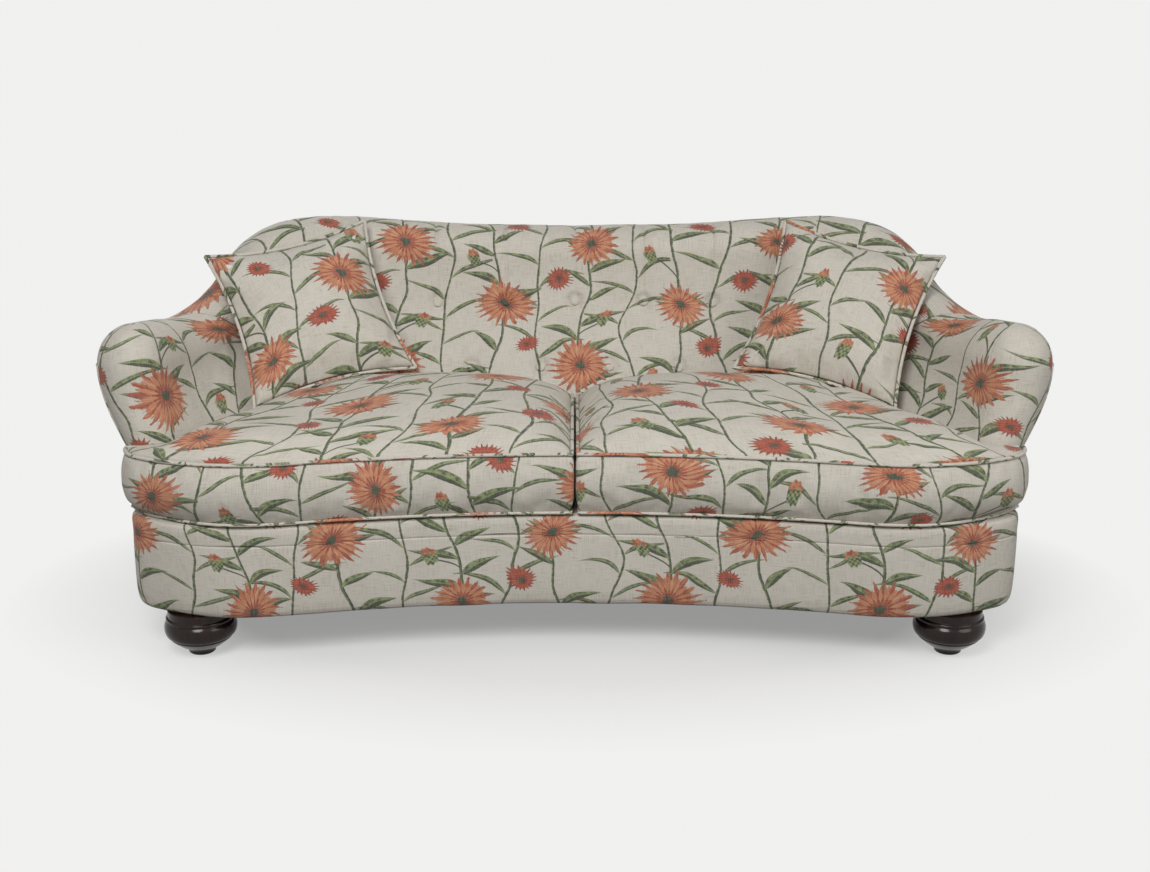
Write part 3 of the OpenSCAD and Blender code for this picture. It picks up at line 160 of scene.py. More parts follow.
@dataclass
class Plan:
    """Plan of the base's rim and of the seat well, both chains of tangent arcs and lines."""

    half_w: float = 957.0
    front_y: float = -378.0
    rear_y: float = 430.0
    front_r: float = 2600.0
    shoulder_r: float = 420.0
    shoulder_x: float = 700.0
    corner_r: float = 90.0
    taper: float = 12.0
    rear_corner_r: float = 240.0
    rear_r: float = 2600.0
    depth: float = 510.0
    well_corner_r: float = 110.0
    splay: float = 31.0
    nose_x: float = 905.0
    nose_y: float = -272.0
    nose_r: float = 47.0

    def __post_init__(self) -> None:
        """Works out the centres and angles where the arcs touch, and the length at each joint."""
        self.front_c = np.array([0.0, self.front_y - self.front_r])
        self.shoulder_turn = math.degrees(math.asin(self.shoulder_x / (self.front_r + self.shoulder_r)))
        self.shoulder_c = self.front_c + (self.front_r + self.shoulder_r) * toward(self.shoulder_turn)
        reach = (self.half_w - self.corner_r - self.shoulder_c[0]) / (self.shoulder_r - self.corner_r)
        self.corner_turn = 180.0 - math.degrees(math.asin(reach))
        self.corner_c = self.shoulder_c + (self.shoulder_r - self.corner_r) * toward(self.corner_turn)
        self.side_turn = 90.0 - self.taper
        self.side_n = toward(self.side_turn)
        self.side_dir = np.array([self.side_n[1], -self.side_n[0]])
        self.rear_c = np.array([0.0, self.rear_y - self.rear_r])
        off = self.side_n @ (self.corner_c - self.rear_c) + self.corner_r - self.rear_corner_r
        self.rear_turn = self.side_turn - math.degrees(math.acos(off / (self.rear_r - self.rear_corner_r)))
        self.rear_corner_c = self.rear_c + (self.rear_r - self.rear_corner_r) * toward(self.rear_turn)
        runs = [
            math.radians(self.rear_turn) * self.rear_r,
            math.radians(self.side_turn - self.rear_turn) * self.rear_corner_r,
            float((self.corner_c - self.rear_corner_c) @ self.side_dir),
            math.radians(self.corner_turn - self.side_turn) * self.corner_r,
            math.radians(180 + self.shoulder_turn - self.corner_turn) * self.shoulder_r,
            math.radians(self.shoulder_turn) * self.front_r,
        ]
        self.rims = np.cumsum(runs)
        self.half_rim = self.rims[-1]
        self.well_r = self.front_r + self.depth
        self.splay_turn = 90.0 - self.splay
        self.splay_n = toward(self.splay_turn)
        self.splay_dir = np.array([self.splay_n[1], -self.splay_n[0]])
        self.nose_c = np.array([self.nose_x, self.nose_y])
        end = self.nose_c - self.nose_r * self.splay_n
        off = self.splay_n @ (end - self.front_c) - self.well_corner_r
        self.well_turn = self.splay_turn - math.degrees(math.acos(off / (self.well_r - self.well_corner_r)))
        self.well_corner_c = self.front_c + (self.well_r - self.well_corner_r) * toward(self.well_turn)
        runs = [
            math.radians(self.well_turn) * self.well_r,
            math.radians(self.splay_turn - self.well_turn) * self.well_corner_r,
            float((end - self.well_corner_c) @ self.splay_dir),
        ]
        self.wells = np.cumsum(runs)
        self.nose_s = self.wells[-1]

    @staticmethod
    def _pick(s: np.ndarray, bounds: list[float], parts: list[np.ndarray]) -> np.ndarray:
        """The part whose stretch holds s, point by point."""
        tests = [(s < b)[..., None] for b in bounds]
        return np.select(tests, parts[:-1], parts[-1])

    def rim(self, s: np.ndarray, t: np.ndarray) -> np.ndarray:
        """Points on the rim; past the front centre the other half follows, mirrored in X.

        On an arc the place is its centre plus its radius, less t, in the direction that the length
        run on it gives; on the straight side it runs along that side.

        Args:
            s: length along the rim from the rear centre.
            t: distance inside it.

        Returns:
            Points of x and y.
        """
        s, t = np.broadcast_arrays(np.asarray(s, float), np.asarray(t, float))
        half = self.half_rim
        flip = np.where(s > half, -1.0, 1.0) * np.where(s < 0, -1.0, 1.0)
        s = np.abs(np.where(s > half, 2 * half - s, s))
        r, tt = self.rims, t[..., None]
        deg = np.degrees
        parts = [
            self.rear_c + (self.rear_r - tt) * toward(deg(s / self.rear_r)),
            self.rear_corner_c
            + (self.rear_corner_r - tt) * toward(self.rear_turn + deg((s - r[0]) / self.rear_corner_r)),
            self.rear_corner_c + (self.rear_corner_r - tt) * self.side_n
            + (s - r[1])[..., None] * self.side_dir,
            self.corner_c + (self.corner_r - tt) * toward(self.side_turn + deg((s - r[2]) / self.corner_r)),
            self.shoulder_c
            + (self.shoulder_r - tt) * toward(self.corner_turn + deg((s - r[3]) / self.shoulder_r)),
            self.front_c + (self.front_r + tt) * toward(deg((r[5] - s) / self.front_r)),
        ]
        return self._pick(s, list(r[:5]), parts) * np.stack([flip, np.ones_like(flip)], -1)

    def well(self, s: np.ndarray, t: np.ndarray) -> np.ndarray:
        """Points on the outline of the seat well, by the same rule as on the rim.

        Args:
            s: length along it from the back centre.
            t: distance into the well.

        Returns:
            Points of x and y.
        """
        s, t = np.broadcast_arrays(np.asarray(s, float), np.asarray(t, float))
        flip = np.where(s < 0, -1.0, 1.0)
        s = np.abs(s)
        w, tt = self.wells, t[..., None]
        deg = np.degrees
        parts = [
            self.front_c + (self.well_r - tt) * toward(deg(s / self.well_r)),
            self.well_corner_c
            + (self.well_corner_r - tt) * toward(self.well_turn + deg((s - w[0]) / self.well_corner_r)),
            self.well_corner_c + (self.well_corner_r - tt) * self.splay_n
            + (s - w[1])[..., None] * self.splay_dir,
            self.nose_c + (self.nose_r + tt) * toward(180 + self.splay_turn - deg((s - w[2]) / self.nose_r)),
        ]
        return self._pick(s, list(w), parts) * np.stack([flip, np.ones_like(flip)], -1)

    def corner_at(self, y: float, t: float) -> float:
        """Length along the rim of the place on the front corner that is at y, t inside it."""
        turn = math.degrees(math.acos((y - self.corner_c[1]) / (self.corner_r - t)))
        return float(self.rims[2] + math.radians(turn - self.side_turn) * self.corner_r)


@dataclass
class Column:
    """Upright curves of the skin: foot, leaning face, then a quarter ellipse up to the ridge."""

    ridge: np.ndarray
    side: np.ndarray
    side_z: np.ndarray
    foot: np.ndarray
    lean_z: np.ndarray
    low_z: float

    def at(self, w: np.ndarray) -> np.ndarray:
        """Points up the curves.

        On the face the plan place goes from foot to side by the sine of w to the power 1.2; on the
        roll it follows the cosine, and the height the sine, of a quarter turn.

        Args:
            w: -1 to 0 on the upright foot, 0 to 1 on the face, 1 to 2 on the roll.

        Returns:
            Points of x, y and z.
        """
        w = np.broadcast_to(w, self.side_z.shape)
        face = np.clip(w, 0.0, 1.0)
        g = np.sin(np.radians(90.0 * face)) ** 1.2
        plan = mix(self.foot, self.side, g[..., None])
        z = mix(self.lean_z, self.side_z, face)
        z = np.where(w < 0, mix(self.lean_z, self.low_z, -w), z)
        a = np.radians(np.clip(w - 1.0, 0.0, 1.0) * 90.0)
        top = self.ridge[..., :2]
        roll = top + (self.side - top) * np.cos(a)[..., None]
        roll_z = self.side_z + (self.ridge[..., 2] - self.side_z) * np.sin(a)
        high = w > 1.0
        z = np.where(high, roll_z, z)
        return np.concatenate([np.where(high[..., None], roll, plan), z[..., None]], -1)


@dataclass
class Shell:
    """The padded skin of arms and back, by stations from the back centre (0) to the arm front (14)."""

    plan: Plan
    shell_z: float = 291.8
    lean_in_z: float = 400.0
    lean_out_z: float = 380.0
    lean_out_back_z: float = 320.0
    junction: float = 11.6
    junction_in: float = 9.5
    slant_from: float = 0.8
    seam_from: float = 8.0
    seam_turn: float = 115.0
    nose_end: float = 92.0
    seam_past: float = 95.0

    def __post_init__(self) -> None:
        """Sets the keys of each curve at its stations, as the part has them.

        ridge: the top of the roll; well and rim: lengths to the feet of the two faces; turn: plan
        directions of the roll in degrees; reach and drop: how far its side is from the ridge.
        """
        keys = [[0, 376, 819], [130, 373, 821], [260, 365, 825], [390, 353, 835], [520, 335, 846],
                [620, 312, 852], [706, 284, 843], [764, 254, 820], [797, 212, 784], [816, 162, 738],
                [843, 103, 702], [874, 32, 681], [906, -50, 674], [932, -130, 685], [955, -210, 695]]
        self.last = len(keys) - 1
        self.ridge = ghosted(keys)
        nose = self.plan.nose_s
        well = [0, 126, 252, 375, 492, 585, 648, 690, 715, 745, 790, 850, 920, 995]
        self.well_s = np.array([-well[1], *well, nose, nose + 80], float)
        rim = [0, 130, 262, 392, 515, 630, 728, 800, 858, 912, self.plan.rims[1], 1045, 1130, 1215, 1300]
        self.rim_s = np.array([-rim[1], *rim, 2 * rim[-1] - rim[-2]], float)
        turn_in = [0, 2.5, 5, 7.5, 10, 15, 26, 38, 46, 51, 54, 56, 58, 59, 59]
        turn_out = [0, 3, 6, 8.5, 11, 15, 25, 37, 48, 58, 66, 71, 75, 77, 78]
        self.turn_in = np.array([-turn_in[1], *turn_in, turn_in[-1]], float)
        self.turn_out = np.array([-turn_out[1], *turn_out, turn_out[-1]], float)
        self.reach_in = ghosted([80, 80, 80, 80, 80, 82, 82, 76, 68, 60, 60, 64, 68, 69, 68])
        self.reach_out = ghosted([98.2, 97, 96, 94, 90, 88, 88, 88, 88, 88, 88, 87, 86, 86, 85])
        self.drop_in = ghosted([68, 68, 69, 70, 72, 74, 76, 78, 80, 80, 80, 82, 84, 86, 88])
        self.drop_out = ghosted([66, 66, 67, 68, 70, 74, 78, 82, 86, 88, 88, 88, 88, 88, 88])
        self.seam_rim = rim[-1] + self.seam_past
        self.rim_last = float(rim[-1])

    def _column(self, r: np.ndarray, d: np.ndarray, reach: np.ndarray, drop: np.ndarray, foot: np.ndarray,
                lean: Numbers) -> Column:
        """A column whose side is below and beside its ridge.

        Args:
            r: ridge points.
            d: plan directions from the ridge to the side.
            reach: distances along them.
            drop: how far the side is below the ridge.
            foot: plan points of the foot.
            lean: height where the face starts to lean.

        Returns:
            The column.
        """
        side_z = r[..., 2] - drop
        side = r[..., :2] + reach[..., None] * d
        return Column(r, side, side_z, foot, np.broadcast_to(lean, side_z.shape), self.shell_z)

    def _signed(self, u: np.ndarray, column: Column) -> Column:
        """The column with its X mirrored where the station u is left of the centre."""
        flip = np.where(u < 0, -1.0, 1.0)
        same = np.ones_like(flip)
        two, three = np.stack([flip, same], -1), np.stack([flip, same, same], -1)
        return Column(column.ridge * three, column.side * two, column.side_z, column.foot * two,
                      column.lean_z, column.low_z)

    def inner(self, u: np.ndarray) -> Column:
        """Columns of the inner face at stations u."""
        a = np.abs(u)
        foot = self.plan.well(np.minimum(spline(self.well_s, a), self.plan.nose_s - 0.001), 0.0)
        return self._signed(u, self._column(spline(self.ridge, a), -toward(spline(self.turn_in, a)),
                                            spline(self.reach_in, a), spline(self.drop_in, a), foot,
                                            self.lean_in_z))

    def outer(self, u: np.ndarray) -> Column:
        """Columns of the outer face at stations u; they lean from higher up towards the arm's front."""
        a = np.abs(u)
        lean = mix(self.lean_out_back_z, self.lean_out_z, np.clip(a / self.last, 0, 1))
        return self._signed(u, self._column(spline(self.ridge, a), toward(spline(self.turn_out, a)),
                                            spline(self.reach_out, a), spline(self.drop_out, a),
                                            self.plan.rim(spline(self.rim_s, a), 0.0), lean))

    def _front(self, turn: np.ndarray, reach: np.ndarray, foot: np.ndarray, lean: Numbers) -> Column:
        """Columns that all rise to the last ridge point, turned round it by as many degrees as turn says."""
        k = self.last + 1
        return self._column(np.broadcast_to(self.ridge[k], turn.shape + (3,)), toward(turn), reach,
                            self.drop_out[k] + 0 * turn, foot, lean)

    def nose(self, v: np.ndarray) -> Column:
        """Columns round the front of the arm, from its inner face (v of 0) to the seam (1)."""
        k = self.last + 1
        turn = mix(180 + self.turn_in[k], self.seam_turn, v)
        reach = mix(self.reach_in[k], self.reach_out[k], np.clip(v * 2, 0, 1))
        foot = mix(180 + self.plan.splay_turn, self.nose_end, v)
        return self._front(turn, reach, self.plan.nose_c + self.plan.nose_r * toward(foot),
                           mix(self.lean_in_z, self.lean_out_z, v))

    def fan(self, v: np.ndarray, past: float = 0.0) -> Column:
        """Columns from the seam (v of 0) round to the outer side of the arm (1).

        Args:
            v: how far round.
            past: degrees by which they start before the seam, with 6 mm at the foot for each.

        Returns:
            The columns.
        """
        k = self.last + 1
        turn = mix(self.seam_turn - past, self.turn_out[k], v)
        foot = self.plan.rim(mix(self.seam_rim - 6 * past, self.rim_last, v), 0.0)
        return self._front(turn, self.reach_out[k] + 0 * v, foot, self.lean_out_z)

    def junction_at(self, w: np.ndarray) -> np.ndarray:
        """Station of the slanted seam between arm and back, at w up the inside."""
        risen = np.clip((w - self.slant_from) / (2 - self.slant_from), 0, 1)
        return mix(self.junction_in, self.junction, risen**0.9)

    def arm_station(self, u: np.ndarray, w: np.ndarray) -> np.ndarray:
        """Station, at w, of the arm's column that is u along the ridge."""
        return mix(self.junction_at(w), self.last, (u - self.junction) / (self.last - self.junction))

    def back_station(self, u: np.ndarray, w: np.ndarray, apart: float = 0.0) -> np.ndarray:
        """Station, at w, of the back's column that is u along the ridge, drawn out to the seam.

        Args:
            u: stations along the ridge.
            w: places up the columns.
            apart: stations left free before the seam.

        Returns:
            The stations, whose sign tells the side.
        """
        a = np.abs(u)
        share = (a - self.seam_from) / (self.junction - self.seam_from)
        drawn = mix(self.seam_from, self.junction_at(w) - apart, share)
        return np.sign(u) * np.where(a <= self.seam_from, a, drawn)


# Meshes from grids of points


@dataclass
class Patch:
    """A grid of points in mm, its cloth coordinates in metres, and a mark for held points."""

    points: np.ndarray
    uv: np.ndarray
    held: np.ndarray | None = None


def cloth_uv(points: np.ndarray, at: tuple[float, float] = (0.0, 0.0)) -> np.ndarray:
    """Cloth coordinates in metres: the mean run across the columns, and the run up each column.

    Args:
        points: grid of points in mm, columns first.
        at: cloth coordinates of the first corner.

    Returns:
        Grid of u and v.
    """
    across = lengths_along(points, 0).mean(axis=1)[:, None] + 0 * points[..., 0]
    up = lengths_along(points, 1)
    return np.stack([at[0] + across * MM, at[1] + up * MM], -1)


def patch(points: np.ndarray, at: tuple[float, float] = (0.0, 0.0)) -> Patch:
    """A patch with plain cloth coordinates."""
    return Patch(points, cloth_uv(points, at))


def mirrored(patches: list[Patch], side: Side, shift: float) -> list[Patch]:
    """The patches on their side of the sofa; the left one is cut from another place of the cloth.

    Args:
        patches: patches of the right side.
        side: side that they are wanted on.
        shift: metres across the cloth to the left one's place.

    Returns:
        The patches of that side.
    """
    if side is Side.RIGHT:
        return patches
    flip = np.array([-1.0, 1.0, 1.0])
    return [Patch(p.points * flip, p.uv * [-1.0, 1.0] + [shift, LEFT_UP], p.held) for p in patches]


def coons(front: np.ndarray, back: np.ndarray, left: np.ndarray, right: np.ndarray) -> np.ndarray:
    """Fills four boundary curves, as a Coons patch.

    It is the sum of the blends between opposite curves, less the blend of the four corners.

    Args:
        front: first curve, from left to right.
        back: the curve opposite it, the same way.
        left: curve from the start of front to the start of back.
        right: the curve opposite it, the same way.

    Returns:
        Grid of points, along front and then along left.
    """
    a = np.linspace(0, 1, len(front))[:, None, None]
    b = np.linspace(0, 1, len(left))[None, :, None]
    ruled = (1 - b) * front[:, None] + b * back[:, None] + (1 - a) * left[None] + a * right[None]
    corners = (1 - a) * ((1 - b) * front[0] + b * back[0]) + a * ((1 - b) * front[-1] + b * back[-1])
    return ruled - corners


def even(line: np.ndarray, n: int) -> np.ndarray:
    """n points evenly spaced along a line of points."""
    run = np.concatenate([[0], np.cumsum(np.linalg.norm(np.diff(line, axis=0), axis=1))])
    at = np.linspace(0, run[-1], n)
    return np.stack([np.interp(at, run, line[:, k]) for k in range(line.shape[1])], -1)


def grid_normals(points: np.ndarray, inside: Place) -> np.ndarray:
    """Unit normals of a grid: the cross product of its two slopes, turned away from a point inside."""
    n = np.cross(np.gradient(points, axis=0), np.gradient(points, axis=1))
    n /= np.maximum(np.linalg.norm(n, axis=-1, keepdims=True), TINY)
    return n * (1.0 if np.sum(n * (points - inside)) > 0 else -1.0)


def ripple(points: np.ndarray, seed: int, size: float, waves: int = 7) -> np.ndarray:
    """Soft irregular waves: 1.8 times the mean of sines that run in random directions.

    Args:
        points: places in mm.
        seed: start of the random draws.
        size: about how wide a wave is in mm; single ones are from 0.6 to 1.5 times as fine.
        waves: number of sines.

    Returns:
        A number for each place, mostly from -1 to 1.
    """
    rng = np.random.default_rng(seed)
    k = rng.normal(size=(waves, 3))
    finer = rng.uniform(0.6, 1.5, (waves, 1))
    k *= (2 * math.pi / size) * finer / np.linalg.norm(k, axis=1, keepdims=True)
    phase = rng.uniform(0, 2 * math.pi, waves)
    return np.sin(points @ k.T + phase).mean(axis=-1) * 1.8


def build_mesh(name: str, patches: list[Patch], inside: Place | None = None) -> bpy.types.Object:
    """Welds patches to one mesh object, with its cloth coordinates kept corner by corner.

    Args:
        name: name of the piece.
        patches: the grids that it is made of.
        inside: a point in mm that an open sheet's faces turn away from; None for a closed shell.

    Returns:
        The piece.
    """
    verts, quads, uvs, held, base = [], [], [], [], 0
    for p in patches:
        n, m = p.points.shape[:2]
        ids = np.arange(n * m).reshape(n, m) + base
        quads.append(np.stack([ids[:-1, :-1], ids[1:, :-1], ids[1:, 1:], ids[:-1, 1:]], -1).reshape(-1, 4))
        verts.append(p.points.reshape(-1, 3) * MM)
        uvs.append(p.uv.reshape(-1, 2))
        held.append((np.zeros((n, m)) if p.held is None else np.broadcast_to(p.held, (n, m))).reshape(-1))
        base += n * m
    v, q, uv = np.concatenate(verts), np.concatenate(quads), np.concatenate(uvs)
    mesh = bpy.data.meshes.new(name)
    mesh.vertices.add(len(v))
    mesh.vertices.foreach_set("co", v.ravel())
    mesh.loops.add(q.size)
    mesh.loops.foreach_set("vertex_index", q.ravel())
    mesh.polygons.add(len(q))
    mesh.polygons.foreach_set("loop_start", np.arange(0, q.size, 4))
    mesh.update(calc_edges=True)
    mesh.attributes.new("held", "FLOAT", "POINT").data.foreach_set("value", np.concatenate(held))
    mesh.uv_layers.new(name="cloth").data.foreach_set("uv", uv[q.ravel()].ravel())
    bm = bmesh.new()
    bm.from_mesh(mesh)
    bmesh.ops.remove_doubles(bm, verts=bm.verts, dist=WELD)
    bmesh.ops.recalc_face_normals(bm, faces=bm.faces)
    if inside is not None:
        core = Vector(inside) * MM
        out = sum(f.normal.dot(f.calc_center_median() - core) * f.calc_area() for f in bm.faces)
        if out < 0:
            bmesh.ops.reverse_faces(bm, faces=bm.faces)
    bm.to_mesh(mesh)
    bm.free()
    mesh.shade_smooth()
    obj = bpy.data.objects.new(name, mesh)
    bpy.context.scene.collection.objects.link(obj)
    LOG.info("%s: %d vertices, %d faces", name, len(mesh.vertices), len(mesh.polygons))
    return obj


def tube(path: np.ndarray, radius: float, closed: bool = True, sides: int = 12, at: float = 0.0,
         up_cloth: float = 0.4) -> list[Patch]:
    """A round cord along a path: rings square to it, spread between its sideways and upward normals.

    Its cover is cut on the bias, so its cloth coordinates run at 45 degrees to its length.

    Args:
        path: points in mm; a closed path doesn't repeat its first point.
        radius: radius of the cord in mm.
        closed: whether the ends join; open ends are closed by small caps.
        sides: points round the cord.
        at: cloth coordinate across at the start.
        up_cloth: cloth coordinate up at the start.

    Returns:
        The cord's patch, and its caps.
    """
    if closed:
        ahead, behind = np.roll(path, -1, 0), np.roll(path, 1, 0)
    else:
        ahead, behind = np.vstack([path[1:], path[-1:]]), np.vstack([path[:1], path[:-1]])
    d = ahead - behind
    d /= np.linalg.norm(d, axis=1, keepdims=True)
    side = np.cross(d, [0.0, 0.0, 1.0])
    side /= np.maximum(np.linalg.norm(side, axis=1, keepdims=True), TINY)
    up = np.cross(side, d)
    a = np.linspace(0, 2 * math.pi, sides + 1)
    spokes = np.cos(a)[None, :, None] * side[:, None] + np.sin(a)[None, :, None] * up[:, None]
    rings = path[:, None] + radius * spokes
    if closed:
        rings = np.concatenate([rings, rings[:1]])
    run = lengths_along(rings.mean(axis=1)[:, None], 0)
    turn = a * radius
    uv = np.stack([at + (run + turn) * BIAS * MM, up_cloth + (run - turn) * BIAS * MM], -1)
    patches = [Patch(rings, uv)]
    if not closed:
        for k in (0, -1):
            cap = np.stack([rings[k], np.broadcast_to(rings[k].mean(axis=0), rings[k].shape)])
            patches.append(Patch(cap, np.stack([uv[k], uv[k]])))
    return patches


def turned(profile: np.ndarray, centre: tuple[float, float], steps: int) -> Patch:
    """A profile of (radius, height) carried round an upright axis.

    Args:
        profile: its points in mm, the first and last on the axis.
        centre: plan place of the axis.
        steps: number of steps round.

    Returns:
        The closed surface.
    """
    a = np.linspace(0, 2 * math.pi, steps + 1)[:, None]
    r, z = profile[:, 0][None], profile[:, 1][None]
    return patch(np.stack([centre[0] + r * np.cos(a), centre[1] + r * np.sin(a), z + 0 * a], -1))


# Padding that swells


@dataclass(frozen=True)
class Swelling:
    """Cloth blown up over its filling: air pressure inside, cut a little wide, its seams held."""

    pressure: float
    spare: float
    cap: float
    bending: float = 0.6
    frames: int = 20

    def apply(self, obj: bpy.types.Object) -> None:
        """Runs the cloth on a welded mesh and keeps the result; points marked held stay.

        A move m is drawn in to cap tanh(m / cap), so that no point goes further than the cap.

        Args:
            obj: the piece; its mesh is changed.
        """
        mesh = obj.data
        n = len(mesh.vertices)
        held, start = np.empty(n), np.empty(n * 3)
        mesh.attributes["held"].data.foreach_get("value", held)
        mesh.vertices.foreach_get("co", start)
        start = start.reshape(-1, 3)
        pins = obj.vertex_groups.new(name="held")
        pins.add(np.nonzero(held > 0.99)[0].tolist(), 1.0, "REPLACE")
        cloth = obj.modifiers.new("cloth", "CLOTH")
        s = cloth.settings
        s.vertex_group_mass, s.use_pressure, s.uniform_pressure_force = "held", True, self.pressure
        s.shrink_min, s.quality, s.bending_stiffness = -self.spare, 5, self.bending
        s.effector_weights.gravity = 0.0
        scene = bpy.context.scene
        for frame in range(1, self.frames + 1):
            scene.frame_set(frame)
        now = np.empty(n * 3)
        shaped = obj.evaluated_get(bpy.context.evaluated_depsgraph_get())
        shaped.data.vertices.foreach_get("co", now)
        obj.modifiers.remove(cloth)
        obj.vertex_groups.remove(pins)
        scene.frame_set(1)
        move = now.reshape(-1, 3) - start
        far = np.linalg.norm(move, axis=1, keepdims=True)
        move *= np.tanh(far / (self.cap * MM)) * self.cap * MM / np.maximum(far, TINY)
        mesh.vertices.foreach_set("co", (start + move * (1 - held[:, None])).ravel())
        mesh.update()
        LOG.info("%s swelled by up to %.1f mm", obj.name, np.linalg.norm(move, axis=1).max() / MM)


# Finishes


def linear(code: str) -> tuple[float, float, float, float]:
    """An sRGB hex colour as the linear numbers that a shader takes, by the standard's two formulas."""
    c = [int(code[i:i + 2], 16) / 255 for i in (1, 3, 5)]
    r, g, b = (v / 12.92 if v <= 0.04045 else ((v + 0.055) / 1.055) ** 2.4 for v in c)
    return (r, g, b, 1.0)


class Graph:
    """The nodes of a material or of the world, built row by row; each result is kept under a name."""

    def __init__(self, owner: bpy.types.Material | bpy.types.World) -> None:
        """Empties the owner's nodes."""
        owner.use_nodes = True
        self.owner = owner
        self.tree = owner.node_tree
        self.tree.nodes.clear()
        self.wires: dict[str, bpy.types.NodeSocket] = {}

    def add(self, name: str, kind: str, settings: dict | None = None, inputs: dict | None = None,
            output: int | str = 0) -> bpy.types.Node:
        """Adds a node with its settings and links, and keeps one of its outputs under a name.

        Args:
            name: name that later rows use for its result.
            kind: the node's type without its ShaderNode prefix.
            settings: the node's own properties.
            inputs: values by socket; a string is the name of a wire, or a hex colour.
            output: which of its outputs is kept.

        Returns:
            The node.
        """
        node = self.tree.nodes.new("ShaderNode" + kind)
        for key, value in (settings or {}).items():
            setattr(node, key, value)
        for key, value in (inputs or {}).items():
            socket = node.inputs[key]
            if isinstance(value, str) and not value.startswith("#"):
                self.tree.links.new(self.wires[value], socket)
            else:
                socket.default_value = linear(value) if isinstance(value, str) else value
        if len(node.outputs):
            self.wires[name] = node.outputs[output]
        return node

    def formula(self, rows: str, key: str = "") -> None:
        """Adds a Math node for each row, such as "y = a * b + c" or "y = SINE a".

        Args:
            rows: the rows; =! clamps a result to 0 and 1, and a, b and c are numbers or wires.
            key: what stands for the dot at the start of a name.
        """
        for row in rows.strip().replace(";", "\n").splitlines():
            name, equals, *words = (key + w[1:] if w[0] == "." else w for w in row.split())
            if tuple(words[1::2]) in INFIX:
                operation, words = INFIX[tuple(words[1::2])], words[::2]
            else:
                operation, *words = words
            plain = [w.lstrip("-").replace(".", "", 1).isdigit() for w in words]
            args = {i: float(w) if number else w for i, (w, number) in enumerate(zip(words, plain))}
            self.add(name, "Math", {"operation": operation, "use_clamp": equals == "=!"}, args)

    def split(self, vector: str, *names: str) -> None:
        """Keeps the three parts of a vector under three names."""
        node = self.add(names[0], "SeparateXYZ", {}, {"Vector": vector})
        self.wires.update(zip(names, node.outputs))

    def blend(self, rows: list[tuple[str, str, str, str]]) -> None:
        """Adds a colour mix for each row: its name, the share of the second colour, and both colours."""
        for name, share, a, b in rows:
            self.add(name, "Mix", {"data_type": "RGBA"}, {0: share, 6: a, 7: b}, 2)

    def finish(self, color: str, roughness: float | str, bump: tuple[str, float, float],
               **sockets: float) -> bpy.types.Material:
        """Closes the material with one shader.

        Args:
            color: wire or hex of the base colour.
            roughness: number, or the wire that carries it.
            bump: wire of a height, its strength, and the distance in metres that 1 stands for.
            sockets: further plain numbers by socket name, spaces as underscores.

        Returns:
            The material.
        """
        self.add("relief", "Bump", {}, {"Height": bump[0], "Strength": bump[1], "Distance": bump[2]})
        inputs = {"Base Color": color, "Roughness": roughness, "Normal": "relief"}
        inputs.update({key.replace("_", " "): value for key, value in sockets.items()})
        self.add("shader", "BsdfPrincipled", {}, inputs)
        self.add("out", "OutputMaterial", {}, {"Surface": "shader"})
        return self.owner


@dataclass(frozen=True)
class Linen:
    """Slubbed linen union, plain woven from flax of uneven thickness, washed, not brushed.

    To the eye: an oatmeal ground flecked with darker and paler threads both ways, matt, with a
    faint sheen at grazing angles. The threads lie 0.6 mm apart and are drawn at 1.7 mm, because
    finer ones are below a pixel.
    """

    name: str = "slub_linen"
    ground: str = "#C2BCAF"
    pale: str = "#D2CCC1"
    dark: str = "#A49B8C"
    pitch: float = 0.0017
    slub: tuple[float, float] = (820.0, 30.0)
    cloud: float = 9.0
    printed: bool = False

    def weave(self, g: Graph) -> None:
        """Threads: two crossing sets of long narrow noise for the slubs, and fine crossing waves.

        The slubs are counted per metre across and along a thread; cloud is the slow change of tone.
        """
        g.add("uv", "UVMap", {"uv_map": "cloth"})
        fine, long = self.slub
        scales = {"warp": (fine, long), "weft": (long, fine), "cloud": (self.cloud, self.cloud)}
        for name, scale in scales.items():
            g.add(name + "_at", "Mapping", {}, {"Vector": "uv", "Scale": (*scale, 1.0)})
            g.add(name, "TexNoise", {"noise_dimensions": "2D"},
                  {"Vector": name + "_at", "Scale": 1.0, "Detail": 2.0, "Roughness": 0.6})
        g.split("uv", "u", "v", "w")
        turn = round(2 * math.pi / self.pitch, 1)
        g.formula(f"""
            both = warp + weft; slub =! both * 1.9 + -1.55
            fleck =! both * -2.0 + 1.9; mist =! cloud * 1.4 + -0.25
            ua = u * {turn}; va = v * {turn}; us = SINE ua
            vs = SINE va; cross = us * vs; thread = both * 1.1 + 0
            height = cross * 0.22 + thread
        """)
        g.blend([("base_a", "mist", self.ground, self.pale), ("base_b", "slub", "base_a", self.pale),
                 ("cloth", "fleck", "base_b", self.dark)])

    def material(self) -> bpy.types.Material:
        """The finished cloth; a printed one has its pattern laid over the weave."""
        g = Graph(bpy.data.materials.new(self.name))
        self.weave(g)
        color = "cloth"
        if self.printed:
            FloralPrint().lay(g)
            color = "printed"
        return g.finish(color, 0.88, ("height", 0.35, 0.0004), Sheen_Weight=0.12, Sheen_Roughness=0.5,
                        Specular_IOR_Level=0.25)


